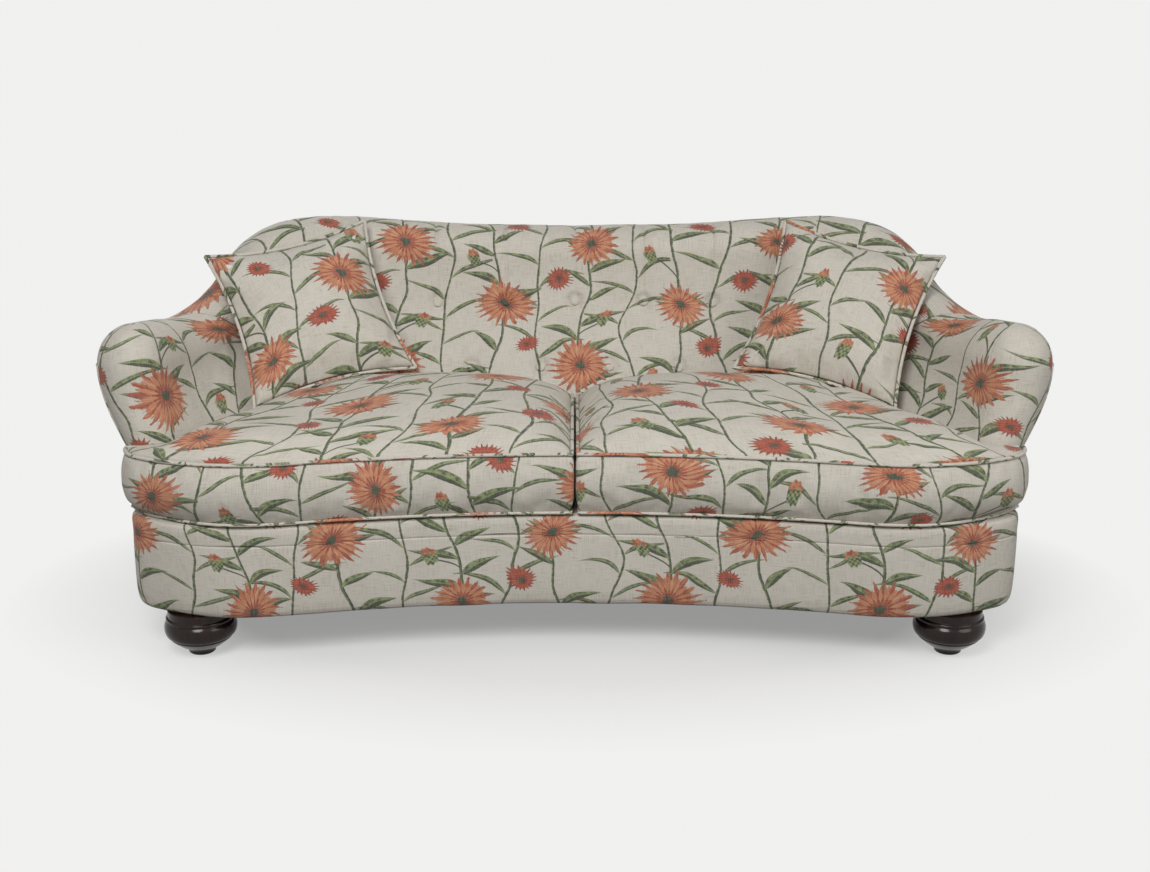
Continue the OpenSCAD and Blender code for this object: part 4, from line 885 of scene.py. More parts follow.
@dataclass(frozen=True)
class FloralPrint:
    """Pigment print of trailing stems, daisies, buds and leaves, screen printed on the linen.

    To the eye: thin, matt colour that follows the weave, rust and salmon petals, dark and olive
    green leaves. Lengths are millimetres on the cloth.
    """

    rust: str = "#97412B"
    salmon: str = "#C07C56"
    deep: str = "#374330"
    olive: str = "#8C9A66"
    leaf_vein: str = "#9AA878"
    umber: str = "#7E3322"
    sand: str = "#DDAF8C"
    daisy: tuple[str, ...] = ("#5E2319", "#7E2F20", "#A8452C", "#C26A4B")
    across: float = 226.0
    drop: float = 312.0
    petals: int = 10
    leaf_turn: tuple[float, float] = (0.70, 0.714)

    def lay(self, g: Graph) -> None:
        """Draws stems, leaves, buds and flowers in half-drop columns, and mixes them over the cloth.

        Every second column stands half a drop higher and is mirrored; its stem swings by a sine.
        """
        flat = {"noise_dimensions": "2D"}
        g.add("wobble", "TexNoise", flat, {"Vector": "uv", "Scale": 6.0, "Detail": 1.2}, 1)
        g.split("wobble", "wx", "wy", "wz")
        g.add("grain", "TexNoise", flat, {"Vector": "uv", "Scale": 95.0, "Detail": 3.0})
        g.formula(f"""
            x0 = u * 1000; y0 = v * 1000; x1 = wx * 52 + x0
            y1 = wy * 52 + y0; rough = grain * 3 + -1.5
            gr =! grain * 3.0 + -1.0; cx = x1 / {self.across}; ci = FLOOR cx
            cf = FRACT cx; xl = cf * {self.across} + {-self.across / 2}
            odd = PINGPONG ci 1; y = odd * {self.drop / 2} + y1
            cy = y / {self.drop}; cj = FLOOR cy; yf = FRACT cy
            yl = yf * {self.drop} + {-self.drop / 2}; way = odd * -2 + 1
            sa = cy * {math.pi:.5f}; sb = SINE sa; xs = sb * -20 + xl
            bxx = cx + 0.5; bi0 = FLOOR bxx; bi = bi0 + 31.5
            bf = FRACT bxx; bl0 = bf * {self.across} + {-self.across / 2}
            bo = PINGPONG bi0 1; byy = bo * 61 + y1; ba = byy * 0.0131
            bs = SINE ba; bx0 = bs * 15 + bl0
        """)
        g.add("cell", "CombineXYZ", {}, {"X": "ci", "Y": "cj"})
        g.add("luck", "TexWhiteNoise", flat, {"Vector": "cell"}, 1)
        g.split("luck", "l1", "l2", "l3")
        self._vine(g, "a", ("xs", "y", "ci"), step=74.0, length=(66.0, 50.0), half=10.2, bow=0.0042,
                   stalk=3.5)
        self._vine(g, "b", ("bx0", "byy", "bi"), step=88.0, length=(84.0, 56.0), half=6.4, bow=0.0048,
                   stalk=2.9)
        self._flower(g, "f", ("xs", "yl"), ("l1", "l2", "l3"), low=69.0, spread=15.0,
                     inks=(self.umber, self.rust, self.salmon, self.sand))
        g.formula("""
            bx = xs * way + -62; by = yl + -116; dx = xs * way + 74
            dy = yl + 98
        """)
        self._flower(g, "d", ("dx", "dy"), ("l3", "l1", "l2"), low=32.0, spread=11.0, inks=self.daisy)
        self._bud(g)
        g.blend([
            ("p0", "b_stem", "cloth", "b_green"), ("p1", "b_leaf", "p0", "b_leafy"),
            ("p2", "a_stem", "p1", "a_green"), ("p3", "a_leaf", "p2", "a_leafy"),
            ("p4", "branch", "p3", self.deep), ("p5", "bud", "p4", "bud_ink"),
            ("p6", "d_mask", "p5", "d_ink"), ("p7", "f_mask", "p6", "f_ink"),
        ])
        g.formula("""
            worn =! slub * 0.22 + 0.03; worn2 =! fleck * 0.10 + worn
        """)
        g.blend([("printed", "worn2", "p7", "cloth")])

    def _vine(self, g: Graph, key: str, at: tuple[str, str, str], step: float, length: tuple[float, float],
              half: float, bow: float, stalk: float) -> None:
        """A stem with leaves, by folding the cloth along it: one leaf on each side, half a step apart.

        In its own frame, p along and q across, turned by 45.6 degrees from the stem, a leaf is where
        |q| is below a half sine of p; q is bent by the square of p, so that the leaf hangs over.

        Args:
            g: the graph to add to.
            key: prefix of its wires.
            at: wires of the place across and along the stem, and of its number.
            step: distance between the leaves of one side.
            length: least length of a leaf, and how much longer it may be.
            half: half its width.
            bow: how much it bends.
            stalk: half the width of the stem.
        """
        k = key
        cos, sin = self.leaf_turn
        g.formula(f"""
            .x = ABSOLUTE {at[0]}; .side = SIGN {at[0]}
            .up = GREATER_THAN .side 0; .y0 = .up * {step / 2} + {at[1]}
            .y1 = .y0 / {step}; .i = FLOOR .y1; .y2 = FRACT .y1
            .y = .y2 * {step} + -4; .st0 = grain * -2.6 + {stalk + 1.3}
            .st1 = .st0 - .x; ._stem =! .st1 * 0.9 + 0.2
            .lit =! {at[0]} * 0.22 + 0.36; .tone = .lit * gr
        """, k)
        g.add(k + "cell", "CombineXYZ", {}, {"X": at[2], "Y": k + "i", "Z": k + "side"})
        g.add(k + "l", "TexWhiteNoise", {"noise_dimensions": "3D"}, {"Vector": k + "cell"}, 0)
        g.formula(f"""
            .pa = .x * {cos}; .pb = .y * {sin}; .p = .pa + .pb
            .qa = .x * {-sin}; .qb = .y * {cos}; .q0 = .qa + .qb
            .pp = .p * .p; .q = .pp * {bow} + .q0
            .len = .l * {length[1]} + {length[0]}; .pf = .p / .len
            .pc =! .pf * 1 + 0; .pe = POWER .pc 0.8; .ps = .pe * {math.pi:.5f}
            .pw = SINE .ps; .lw = .l * {half * 0.5} + {half * 0.75}
            .lh = .pw * .lw; .lh2 = rough * 0.55 + .lh; .qm = ABSOLUTE .q
            .lm = .lh2 - .qm; .lm2 =! .lm * 0.8 + 0; .lt = GREATER_THAN .l 0.12
            ._leaf = .lm2 * .lt; .vn =! .qm * -1.1 + 1.2; .qs =! .q * 0.2 + 0.8
            .sh = .qs * gr; .vein = .vn * 0.75
        """, k)
        g.blend([(k + "_green", k + "tone", self.deep, self.olive),
                 (k + "ink", k + "sh", self.deep, self.olive),
                 (k + "_leafy", k + "vein", k + "ink", self.leaf_vein)])

    def _bud(self, g: Graph) -> None:
        """A bud on a bowed side stem: an ellipse, salmon above and green in its lower half."""
        g.formula("""
            bxn = xs * way; bt = bxn / 62; bt1 =! bt * 1 + 0
            bt2 = POWER bt1 0.55; bl = bt2 * 44 + 64; be = yl - bl
            bd = ABSOLUTE be; bm =! bd * -0.8 + 2.2; b0 = GREATER_THAN bxn 0
            b1 = LESS_THAN bxn 62; b2 = b0 * b1; branch = bm * b2
            ex = bx / 17; ey = by / 24; ex2 = ex * ex
            ey2 = ey * ey; er = ex2 + ey2; er1 = SQRT er
            fr = bx * 0.6; fs = SINE fr; er2 = fs * 0.08 + er1
            bud =! er2 * -7 + 7.2; tip0 = fs * 4 + by; tip =! tip0 * 0.22 + -0.9
            sc0 = by * 0.55; sc1 = SINE sc0; sc2 = sc1 * fs
            sc3 =! sc2 * 0.7 + gr
        """)
        g.blend([("bud_low", "sc3", self.deep, self.olive), ("bud_high", "gr", self.rust, self.salmon),
                 ("bud_ink", "tip", "bud_low", "bud_high")])

    def _flower(self, g: Graph, key: str, at: tuple[str, str], luck: tuple[str, str, str], low: float,
                spread: float, inks: tuple[str, ...]) -> None:
        """A daisy seen at a slant: three rings of pointed petals round a dark eye.

        In polar coordinates a ring is where the radius is below a triangle wave of the angle, and
        each ring is turned by half a petal and smaller than the one before.

        Args:
            g: the graph to add to.
            key: prefix of its wires.
            at: wires of the place from its middle.
            luck: three random wires, for its size, its slant and its turn.
            low: least radius.
            spread: how much larger it may be.
            inks: its colours, from the darkest to the palest.
        """
        k = key
        g.formula(f"""
            .sl = {luck[1]} * 0.55 + 1.05; .y = {at[1]} * .sl
            .xx = {at[0]} * {at[0]}; .yy = .y * .y; .rr = .xx + .yy
            .r = SQRT .rr; .an = ARCTAN2 .y {at[0]}
            .a1 = {luck[2]} * {2 * math.pi:.3f} + .an
            .big = {luck[0]} * {spread} + {low}; .rn = .r / .big
            .a2 = wx * 0.9 + .a1; .pa = .a2 * {self.petals / math.pi:.4f}
            .pf = PINGPONG .pa 0.5; .t1 = .pf * 2; .t2 = .pf * -2 + 1
            .u1 = POWER .t1 0.62; .u2 = POWER .t2 0.62
            .g0 = grain * 0.3 + -0.15
        """, k)
        for n, wave, reach, least in ((1, "u1", 0.62, 0.34), (2, "u2", 0.46, 0.3), (3, "u1", 0.24, 0.2)):
            g.formula(f"""
                .e{n} = .{wave} * {reach} + {least}; .m{n} = .e{n} - .rn
                .n{n} = .m{n} + .g0; .q{n} =! .n{n} * 26 + 0
                .rim{n} =! .n{n} * -14 + 1.0
            """, k)
        g.formula(f"""
            ._mask = MAXIMUM .q1 .q2; .ra = .a2 * 9; .rb = .rn * 2.2
        """, k)
        g.add(k + "ray", "CombineXYZ", {}, {"X": k + "ra", "Y": k + "rb", "Z": luck[0]})
        g.add(k + "lines", "TexNoise", {}, {"Vector": k + "ray", "Scale": 1.3, "Detail": 3.0})
        g.formula(f"""
            .l0 =! .lines * 4.4 + -1.75; .l1 =! .lines * 4.4 + -2.3
            .c1 = .rim1 * 0.5; .c2 = .rim2 * 0.7; .c3 = .rim3 * 0.6
            .eye0 = 0.17 - .rn; .eye1 = .eye0 + .g0; .eye =! .eye1 * 30 + 0
        """, k)
        g.blend([
            (k + "w1", k + "l0", inks[1], inks[2]), (k + "w2", k + "c1", k + "w1", inks[1]),
            (k + "v1", k + "l1", inks[2], inks[3]), (k + "v2", k + "c2", k + "v1", inks[1]),
            (k + "z1", k + "l1", inks[1], inks[2]), (k + "z2", k + "c3", k + "z1", inks[0]),
            (k + "i1", k + "q2", k + "w2", k + "v2"), (k + "i2", k + "q3", k + "i1", k + "z2"),
            (k + "_ink", k + "eye", k + "i2", self.deep),
        ])


@dataclass(frozen=True)
class Layer:
    """Finish of a hard or hidden piece: its name and two tones, on Object coordinates."""

    name: str
    light: str
    dark: str

    def start(self) -> Graph:
        """An empty material whose first wire is the place on the object."""
        g = Graph(bpy.data.materials.new(self.name))
        g.add("at", "TexCoord", {}, {}, "Object")
        return g


@dataclass(frozen=True)
class Wood(Layer):
    """Wood, sawn, sanded or turned; its grain runs along one axis in long narrow streaks.

    To the eye: fine darker streaks, pores as short dashes, and slow changes of tone between them.
    Grain lines lie about 2 mm apart and are drawn at that.
    """

    roughness: float
    along: tuple[float, float, float] = (4.0, 90.0, 90.0)
    coat: float = 0.0
    relief: float = 0.00025

    def material(self) -> bpy.types.Material:
        """The finished wood."""
        g = self.start()
        g.add("grain_at", "Mapping", {}, {"Vector": "at", "Scale": self.along})
        g.add("grain", "TexNoise", {}, {"Vector": "grain_at", "Scale": 2.2, "Detail": 5.0, "Distortion": 0.6})
        g.add("pores_at", "Mapping", {}, {"Vector": "at", "Scale": tuple(a * 6.0 for a in self.along)})
        g.add("pores", "TexNoise", {}, {"Vector": "pores_at", "Scale": 1.6, "Detail": 2.0})
        g.add("tone", "TexNoise", {}, {"Vector": "at", "Scale": 7.0, "Detail": 2.0})
        g.formula(f"""
            streak =! grain * 3.2 + -1.1; pit =! pores * -6 + 2.6
            mist =! tone * 1.6 + -0.3; share = mist * 0.35 + 0.1
            both =! streak * 0.65 + share
            gloss0 = pit * 0.12 + {self.roughness}
            gloss = streak * 0.05 + gloss0; height = pit * -1
        """)
        g.blend([("tint", "both", self.light, self.dark), ("color", "pit", "tint", self.dark)])
        return g.finish("color", "gloss", ("height", 0.35, self.relief), Coat_Weight=self.coat,
                        Coat_Roughness=0.08, Specular_IOR_Level=0.24)


@dataclass(frozen=True)
class Woven(Layer):
    """Coarse plain weave of flat strands, such as jute hessian, webbing or bonded cloth.

    To the eye: a regular grid of strands over and under each other, with uneven colour along each, and
    painted shade where the strands dip under.
    """

    pitch: float
    roughness: float = 0.9

    def material(self) -> bpy.types.Material:
        """The finished weave: a product of sines on the plan, whose low places are painted darker as shade,
        and noise along the strands.
        """
        g = self.start()
        g.split("at", "x", "y", "z")
        g.add("uneven", "TexNoise", {}, {"Vector": "at", "Scale": 0.35 / self.pitch, "Detail": 3.0})
        turn = round(2 * math.pi / self.pitch, 2)
        # lift is the weave's height; it drives the bump and also paints shade into the colour, darker where
        # the strands dip. mist is the strands' own uneven tone.
        g.formula(f"""
            yz = y + z; xa = x * {turn}; ya = yz * {turn}
            xs = SINE xa; ys = SINE ya; over = xs * ys
            lift =! over * 0.5 + 0.5; mist = uneven * 1.6 + -0.5
            share =! lift * 0.5 + mist
        """)
        g.blend([("color", "share", self.dark, self.light)])
        return g.finish("color", self.roughness, ("lift", 0.5, self.pitch * 0.25), Specular_IOR_Level=0.3)


@dataclass(frozen=True)
class Soft(Layer):
    """Foam, felt, fibre filling or moulded nylon: cells or fibres at one size, with a mottled tone.

    To the eye: a soft matt surface, pitted by cut cells or fuzzy with fibres; the pits are painted darker as
    shade.
    """

    cell: float
    roughness: float = 0.95
    relief: float = 0.4

    def material(self) -> bpy.types.Material:
        """The finished stuff: Voronoi cells for the pits, which are also painted darker as shade, and noise
        for the tone.
        """
        g = self.start()
        g.add("cells", "TexVoronoi", {}, {"Vector": "at", "Scale": 1.0 / self.cell})
        g.add("tone", "TexNoise", {}, {"Vector": "at", "Scale": 14.0, "Detail": 5.0})
        # pit is the cells' height; it drives the bump and also paints shade into the colour, darker in the
        # pits. mist is the stuff's own mottled tone.
        g.formula("""
            pit =! cells * 0.9 + 0; mist = tone * 1.5 + -0.5
            share =! pit * 0.4 + mist
        """)
        g.blend([("color", "share", self.dark, self.light)])
        return g.finish("color", self.roughness, ("pit", self.relief, self.cell * 0.3))


@dataclass(frozen=True)
class Metal(Layer):
    """Drawn spring steel wire or pressed brass: metal with fine draw lines and slightly uneven gloss.

    To the eye: grey or yellow metal, satin, brighter along worn edges.
    """

    roughness: float

    def material(self) -> bpy.types.Material:
        """The finished metal: stretched noise for the draw lines."""
        g = self.start()
        g.add("lines_at", "Mapping", {}, {"Vector": "at", "Scale": (60.0, 900.0, 900.0)})
        g.add("lines", "TexNoise", {}, {"Vector": "lines_at", "Scale": 1.0, "Detail": 3.0})
        g.add("tone", "TexNoise", {}, {"Vector": "at", "Scale": 30.0, "Detail": 3.0})
        g.formula(f"""
            mist =! tone * 2 + -0.6
            rough0 = lines * 0.14 + {self.roughness - 0.07}
            rough = mist * 0.06 + rough0
        """)
        g.blend([("color", "mist", self.light, self.dark)])
        return g.finish("color", "rough", ("lines", 0.15, 0.0001), Metallic=1.0)


class Slot(Enum):
    """The record's finishes, each with the real material that it stands for."""

    # Printed linen union, the cover and, cut on the bias, its cord.
    cover_cloth = Linen("printed_slub_linen", printed=True)
    piping_cloth = Linen("printed_slub_linen_on_cord", printed=True)
    # The same linen without the print, where cushions hide it.
    plain_cloth = Linen("plain_slub_linen")
    # Spunbond polypropylene, thermally bonded in a grid of small dimples.
    black_cloth = Woven("spunbond_cloth", "#35332F", "#1E1D1C", 0.003, 0.75)
    # Elastic polypropylene strap, woven.
    webbing = Woven("elastic_webbing", "#4A443C", "#26231F", 0.0035)
    # Jute sacking, plain woven, unbleached.
    hessian = Woven("jute_hessian", "#BFA577", "#7F6640", 0.004)
    # Needled felt of reclaimed fibres.
    felt = Soft("needled_felt", "#9B968D", "#6C675F", 0.004)
    # Polyester fibre filling in a white case.
    filling = Soft("polyester_filling", "#F2F0EA", "#D8D4CB", 0.006)
    # Cut polyurethane foam, yellowed a little.
    foam = Soft("polyurethane_foam", "#EADFB4", "#CDBD86", 0.0025)
    # Planed beech.
    frame_timber = Wood("planed_beech", "#C9A273", "#A87F52", 0.6)
    # Pressed hardboard.
    board = Soft("pressed_hardboard", "#8E6B45", "#6A4C2E", 0.003, 0.7, 0.15)
    # Mahogany, turned, stained near black and lacquered to a gloss.
    dark_wood = Wood("turned_stained_mahogany", "#2C1810", "#150B08", 0.17, (40.0, 40.0, 5.0), 0.1, 0.00003)
    # Hard-drawn spring steel, oiled.
    spring_steel = Metal("spring_steel", "#8F9298", "#6D6F74", 0.38)
    # Brass zip chain, pressed.
    zip_metal = Metal("pressed_brass", "#C3A161", "#94763F", 0.32)
    # Moulded nylon.
    glide_plastic = Soft("moulded_nylon", "#D6D1C6", "#C2BCB0", 0.002, 0.42, 0.05)


class Dresser:
    """Puts pieces on bodies, in place of CAD nodes, each in its slot's finish."""

    def __init__(self, frame: dict) -> None:
        """Makes every finish, and gives the CAD nodes theirs."""
        self.finishes = {s.name: s.value.material() for s in Slot}
        for part in frame["record"]["subparts"]:
            node = frame["nodes"][part["node"]]
            node.data.materials.clear()
            node.data.materials.append(self.finishes[part["material_slot"]])
        LOG.info("%d CAD nodes finished", len(frame["nodes"]))

    def place(self, obj: bpy.types.Object, body: str, slot: Slot, nodes: list[str],
              fill: float | None = None) -> None:
        """Finishes a piece and ties it to its body.

        Args:
            obj: the piece.
            body: body that it rides on.
            slot: slot that it takes its finish from.
            nodes: CAD nodes that it stands for.
            fill: how full a padded piece is, or None; not used.
        """
        obj.data.materials.append(self.finishes[slot.name])
        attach(obj, body)
        if nodes:
            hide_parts(*nodes)
        LOG.info("%s rides on %s", obj.name, body)

    def cover(self, name: str, patches: list[Patch], inside: Place, wall: float, node: str,
              fill: float) -> None:
        """Makes a padded cover on the frame.

        Args:
            name: name of the piece.
            patches: its outer face.
            inside: a point that the face turns away from.
            wall: thickness, inwards from the face.
            node: CAD node that it stands for.
            fill: how full it is.
        """
        piece = build_mesh(name, patches, inside)
        wadding = piece.modifiers.new("thickness", "SOLIDIFY")
        wadding.thickness, wadding.offset = wall * MM, -1.0
        self.place(piece, "sofa_frame", Slot.cover_cloth, [node], fill)

    def cushion(self, kind: str, side: Side, panels: list[Patch], cord: list[Patch], air: Swelling,
                fill: float) -> None:
        """Makes a loose cushion: its cover, swelled and subdivided once, and its piping.

        Args:
            kind: seat or scatter, as the nodes spell it.
            side: its side.
            panels: patches of the cover.
            cord: patches of the piping.
            air: what swells the cover.
            fill: how full it is.
        """
        body = f"{kind}_cushion_{side.word}"
        piece = build_mesh(f"{kind}_cushion_cover_{side.word}", panels)
        air.apply(piece)
        finer = piece.modifiers.new("smooth", "SUBSURF")
        finer.levels = finer.render_levels = 1
        self.place(piece, body, Slot.cover_cloth, [f"{kind}_cover_{side.word}"], fill)
        piece = build_mesh(f"{kind}_cushion_cord_{side.word}", cord)
        self.place(piece, body, Slot.piping_cloth, [f"{kind}_piping_{side.word}"])


# The sofa's parts


@dataclass
class Base:
    """Padded border over the front rail, the cloths over and under the base, and the feet."""

    plan: Plan
    shell: Shell
    base_z: float = 105.0
    deck_z: float = 311.0
    border_t: float = 21.7
    border_wall: float = 3.0
    gap: float = 0.3
    seam_z: float = 268.0
    ball_r: float = 78.0
    tip_r: float = 29.0
    front_foot: tuple[float, float] = (814.0, -377.0)
    rear_foot: tuple[float, float] = (640.0, 245.0)
    leg_r: float = 28.0
    glide_r: float = 15.3
    glide_z: float = 4.2
    bolt_r: float = 4.2
    bolt_depth: float = 44.0
    dust_in: float = 26.0

    def border(self, dresser: Dresser) -> None:
        """The border: straight runs through rows of (height, inset) make its profile, carried along the rim.

        Heights above 0 are from the floor and the others from the top edge, which is lower where
        the border runs in under the arms.
        """
        round_trip = 2 * self.plan.half_rim
        start = self.shell.seam_rim + 1
        s = np.linspace(start, round_trip - start, 420)
        under = self.plan.corner_at(self.plan.nose_y - self.plan.nose_r - 1, self.border_t)
        inner = np.minimum(s, round_trip - s) - under
        top = mix(self.shell.shell_z - self.gap, self.deck_z, smooth((inner + 4) / 8))
        z0 = self.base_z + self.gap
        keys = [(z0, 18.7), (z0 + 1.5, 12), (z0 + 6, 6.5), (z0 + 14, 3), (z0 + 30, 0.6), (z0 + 60, -0.6),
                (z0 + 100, -0.8), (z0 + 140, -0.3), (self.seam_z - 2, 0.6), (self.seam_z, 2.2),
                (self.seam_z + 2, 0.6), (-16, 0.2), (-7, 1.8), (-2, 6), (0, self.border_t)]
        rows = [np.stack([np.where(z > 0, np.minimum(z, top - 17), top + z), np.full_like(s, t)], -1)
                for z, t in keys]
        rows = np.stack(rows, 1)
        k = np.linspace(0, len(keys) - 1, 70)
        i = np.clip(k.astype(int), 0, len(keys) - 2)
        f = (k - i)[None, :, None]
        line = rows[:, i] * (1 - f) + rows[:, i + 1] * f
        plan = self.plan.rim(s[:, None] + 0 * line[..., 1], line[..., 1])
        points = np.concatenate([plan, line[..., :1]], -1)
        points += grid_normals(points, (0, 0, 200)) * (ripple(points, 3, 210) * 0.9)[..., None]
        dresser.cover("border_cover", [patch(points, (0.11, 0.42))], (0.0, 0.0, 200.0), self.border_wall,
                      "front_border", 0.7)

    def _area(self, t_front: float, t_well: float, n: int, m: int, z: float) -> np.ndarray:
        """Fills the deck's outline, n points across and m from front to back, at the height z."""
        right = seat_sides(self.plan, t_front, t_well, 0.0)
        front = np.concatenate([right[0][::-1] * [-1, 1], right[0][1:]])
        back = np.concatenate([right[1][::-1] * [-1, 1], right[1][1:]])
        grid = coons(even(front, n), even(back, n), even(right[2], m) * [-1, 1], even(right[2], m))
        return np.concatenate([grid, np.full(grid.shape[:2] + (1,), z)], -1)

    def cloths(self, dresser: Dresser) -> None:
        """The platform cloth on the deck and the dust cover under the frame, both stretched flat."""
        top = self._area(self.border_t + self.gap, self.gap, 160, 60, self.deck_z - 0.8)
        top[..., 2] += 0.5 * ripple(top, 5, 160)
        piece = build_mesh("deck_cloth", [patch(top)], (0.0, 0.0, 0.0))
        dresser.place(piece, "sofa_frame", Slot.plain_cloth, ["platform_cloth"])
        plan = self.plan
        steps, n, m = 720, 150, 50
        s = np.linspace(0, 2 * plan.half_rim, steps + 1)
        rim = plan.rim(s, self.dust_in + 0 * s)
        # The outline's four corners are in the middle of the rear and of the front corners' arcs.
        q = int(round(0.5 * (plan.rims[0] + plan.rims[1]) / (2 * plan.half_rim) * steps))
        h = int(round(0.5 * (plan.rims[2] + plan.rims[3]) / (2 * plan.half_rim) * steps))
        back = np.concatenate([rim[-q - 1:-1], rim[:q + 1]])
        under = coons(even(rim[steps - h:h - 1:-1], n), even(back, n), even(rim[steps - h:steps - q + 1], m),
                      even(rim[h:q - 1:-1], m))
        under = np.concatenate([under, np.full(under.shape[:2] + (1,), self.base_z + 1.1)], -1)
        edge = np.minimum.outer(np.sin(np.linspace(0, math.pi, n)), np.sin(np.linspace(0, math.pi, m)))
        under[..., 2] += 0.4 * ripple(under, 6, 90) * np.clip(edge * 4, 0, 1)
        piece = build_mesh("underside_cloth", [patch(under)], (0.0, 0.0, 300.0))
        dresser.place(piece, "sofa_frame", Slot.black_cloth, ["dust_cover"])

    @staticmethod
    def _cut(grid: np.ndarray) -> float:
        """Area in square metres inside a grid's outline in mm: half the sum of x y' - x' y round it.

        The outline comes from the plan, before there is a mesh.
        """
        ring = np.concatenate([grid[:, 0], grid[-1, 1:], grid[-2::-1, -1], grid[0, -2:0:-1]])
        x, y = ring[:, :2].T * MM
        return float(abs(np.sum(x * np.roll(y, -1) - np.roll(x, -1) * y)) / 2)

    def _drilled(self, recess: float, outside: np.ndarray) -> np.ndarray:
        """Closes an outer profile to the axis, with the glide's recess below and the bolt's hole above."""
        z, r, top = self.base_z, self.bolt_r, self.base_z - self.bolt_depth
        glide = [(0, self.glide_z), (self.glide_r, self.glide_z), (self.glide_r, recess)]
        return np.vstack([glide, outside, [(r, z), (r, top), (0, top)]])

    def _profile(self) -> np.ndarray:
        """Half section of a turned foot: tip, bulge, bead, cove and neck, as a spline through points."""
        b, t, z = self.ball_r, self.tip_r, self.base_z
        tip = [(-2, 1.2), (0, 3.4), (0.9, 7), (2, 10.2), (3.8, 13), (7.4, 16)]
        bulb = [(0.56, 19), (0.63, 22.6), (0.71, 27.4), (0.775, 31.6), (0.83, 35.4), (0.862, 37.8),
                (0.868, 40.4), (0.872, 42), (0.925, 43.6), (0.965, 48), (0.99, 54.5), (0.998, 61),
                (0.992, 67), (0.972, 72.4), (0.945, 76.2), (0.925, 78.4), (0.918, 79.8), (0.936, 81.2),
                (0.943, 83.8), (0.93, 86.2), (0.9, 87.8), (0.888, 90), (0.888, z - 2.4), (0.88, z - 0.8),
                (0.86, z)]
        shape = [(t + more, h) for more, h in tip] + [(b * share, h) for share, h in bulb]
        keys = np.array([shape[0], *shape, shape[-1]], float)
        return self._drilled(1.0, spline(keys, np.linspace(0, len(shape) - 1, 170)))

    def feet(self, dresser: Dresser) -> None:
        """Four turned bun feet, and the plain tapered leg under the middle."""
        profile = self._profile()
        for end, place in (("front", self.front_foot), ("rear", self.rear_foot)):
            for side in Side:
                name = f"{end}_bun_{side.word}"
                piece = build_mesh(name, [turned(profile, (place[0] * side.value, place[1]), 96)])
                dresser.place(piece, "sofa_frame", Slot.dark_wood, [f"foot_{end}_{side.word}"])
        z, r = self.base_z, self.leg_r
        leg = [(r - 7.5, 0.6), (r - 6, 1.8), (r - 5.8, 6), (r - 3, 55), (r - 0.2, z - 3), (r - 0.4, z - 1),
               (r - 1.5, z)]
        piece = build_mesh("middle_leg", [turned(self._drilled(0.9, np.array(leg, float)), (0.0, 0.0), 64)])
        dresser.place(piece, "sofa_frame", Slot.dark_wood, ["centre_leg"])


def seat_sides(plan: Plan, t_front: float, t_well: float, x0: float) -> list[np.ndarray]:
    """Right half of the seat's outline as four plan curves: front, back, arm, and the middle line.

    Front and back run outwards from the middle; the other two run from front to back.

    Args:
        plan: the sofa's plan.
        t_front: distance inside the rim.
        t_well: distance clear of arms and back.
        x0: distance from the centre line.

    Returns:
        The four curves, as points of x and y.
    """
    horn = plan.corner_at(plan.nose_y - plan.nose_r - t_well, t_front)
    nose = math.radians(plan.splay_turn) * plan.nose_r
    split = 0.5 * (plan.wells[0] + plan.wells[1])
    first = max(x0, 1e-3)
    front = plan.rim(np.linspace(plan.half_rim - first, horn, 260), t_front)
    back = plan.well(np.linspace(first, split, 160), t_well)
    s = np.concatenate([np.linspace(plan.nose_s + nose, plan.nose_s, 60)[:-1],
                        np.linspace(plan.nose_s, split, 120)])
    arm = np.concatenate([front[-1:], plan.well(s, t_well)])
    return [front, back, arm, np.stack([front[0], back[0]])]


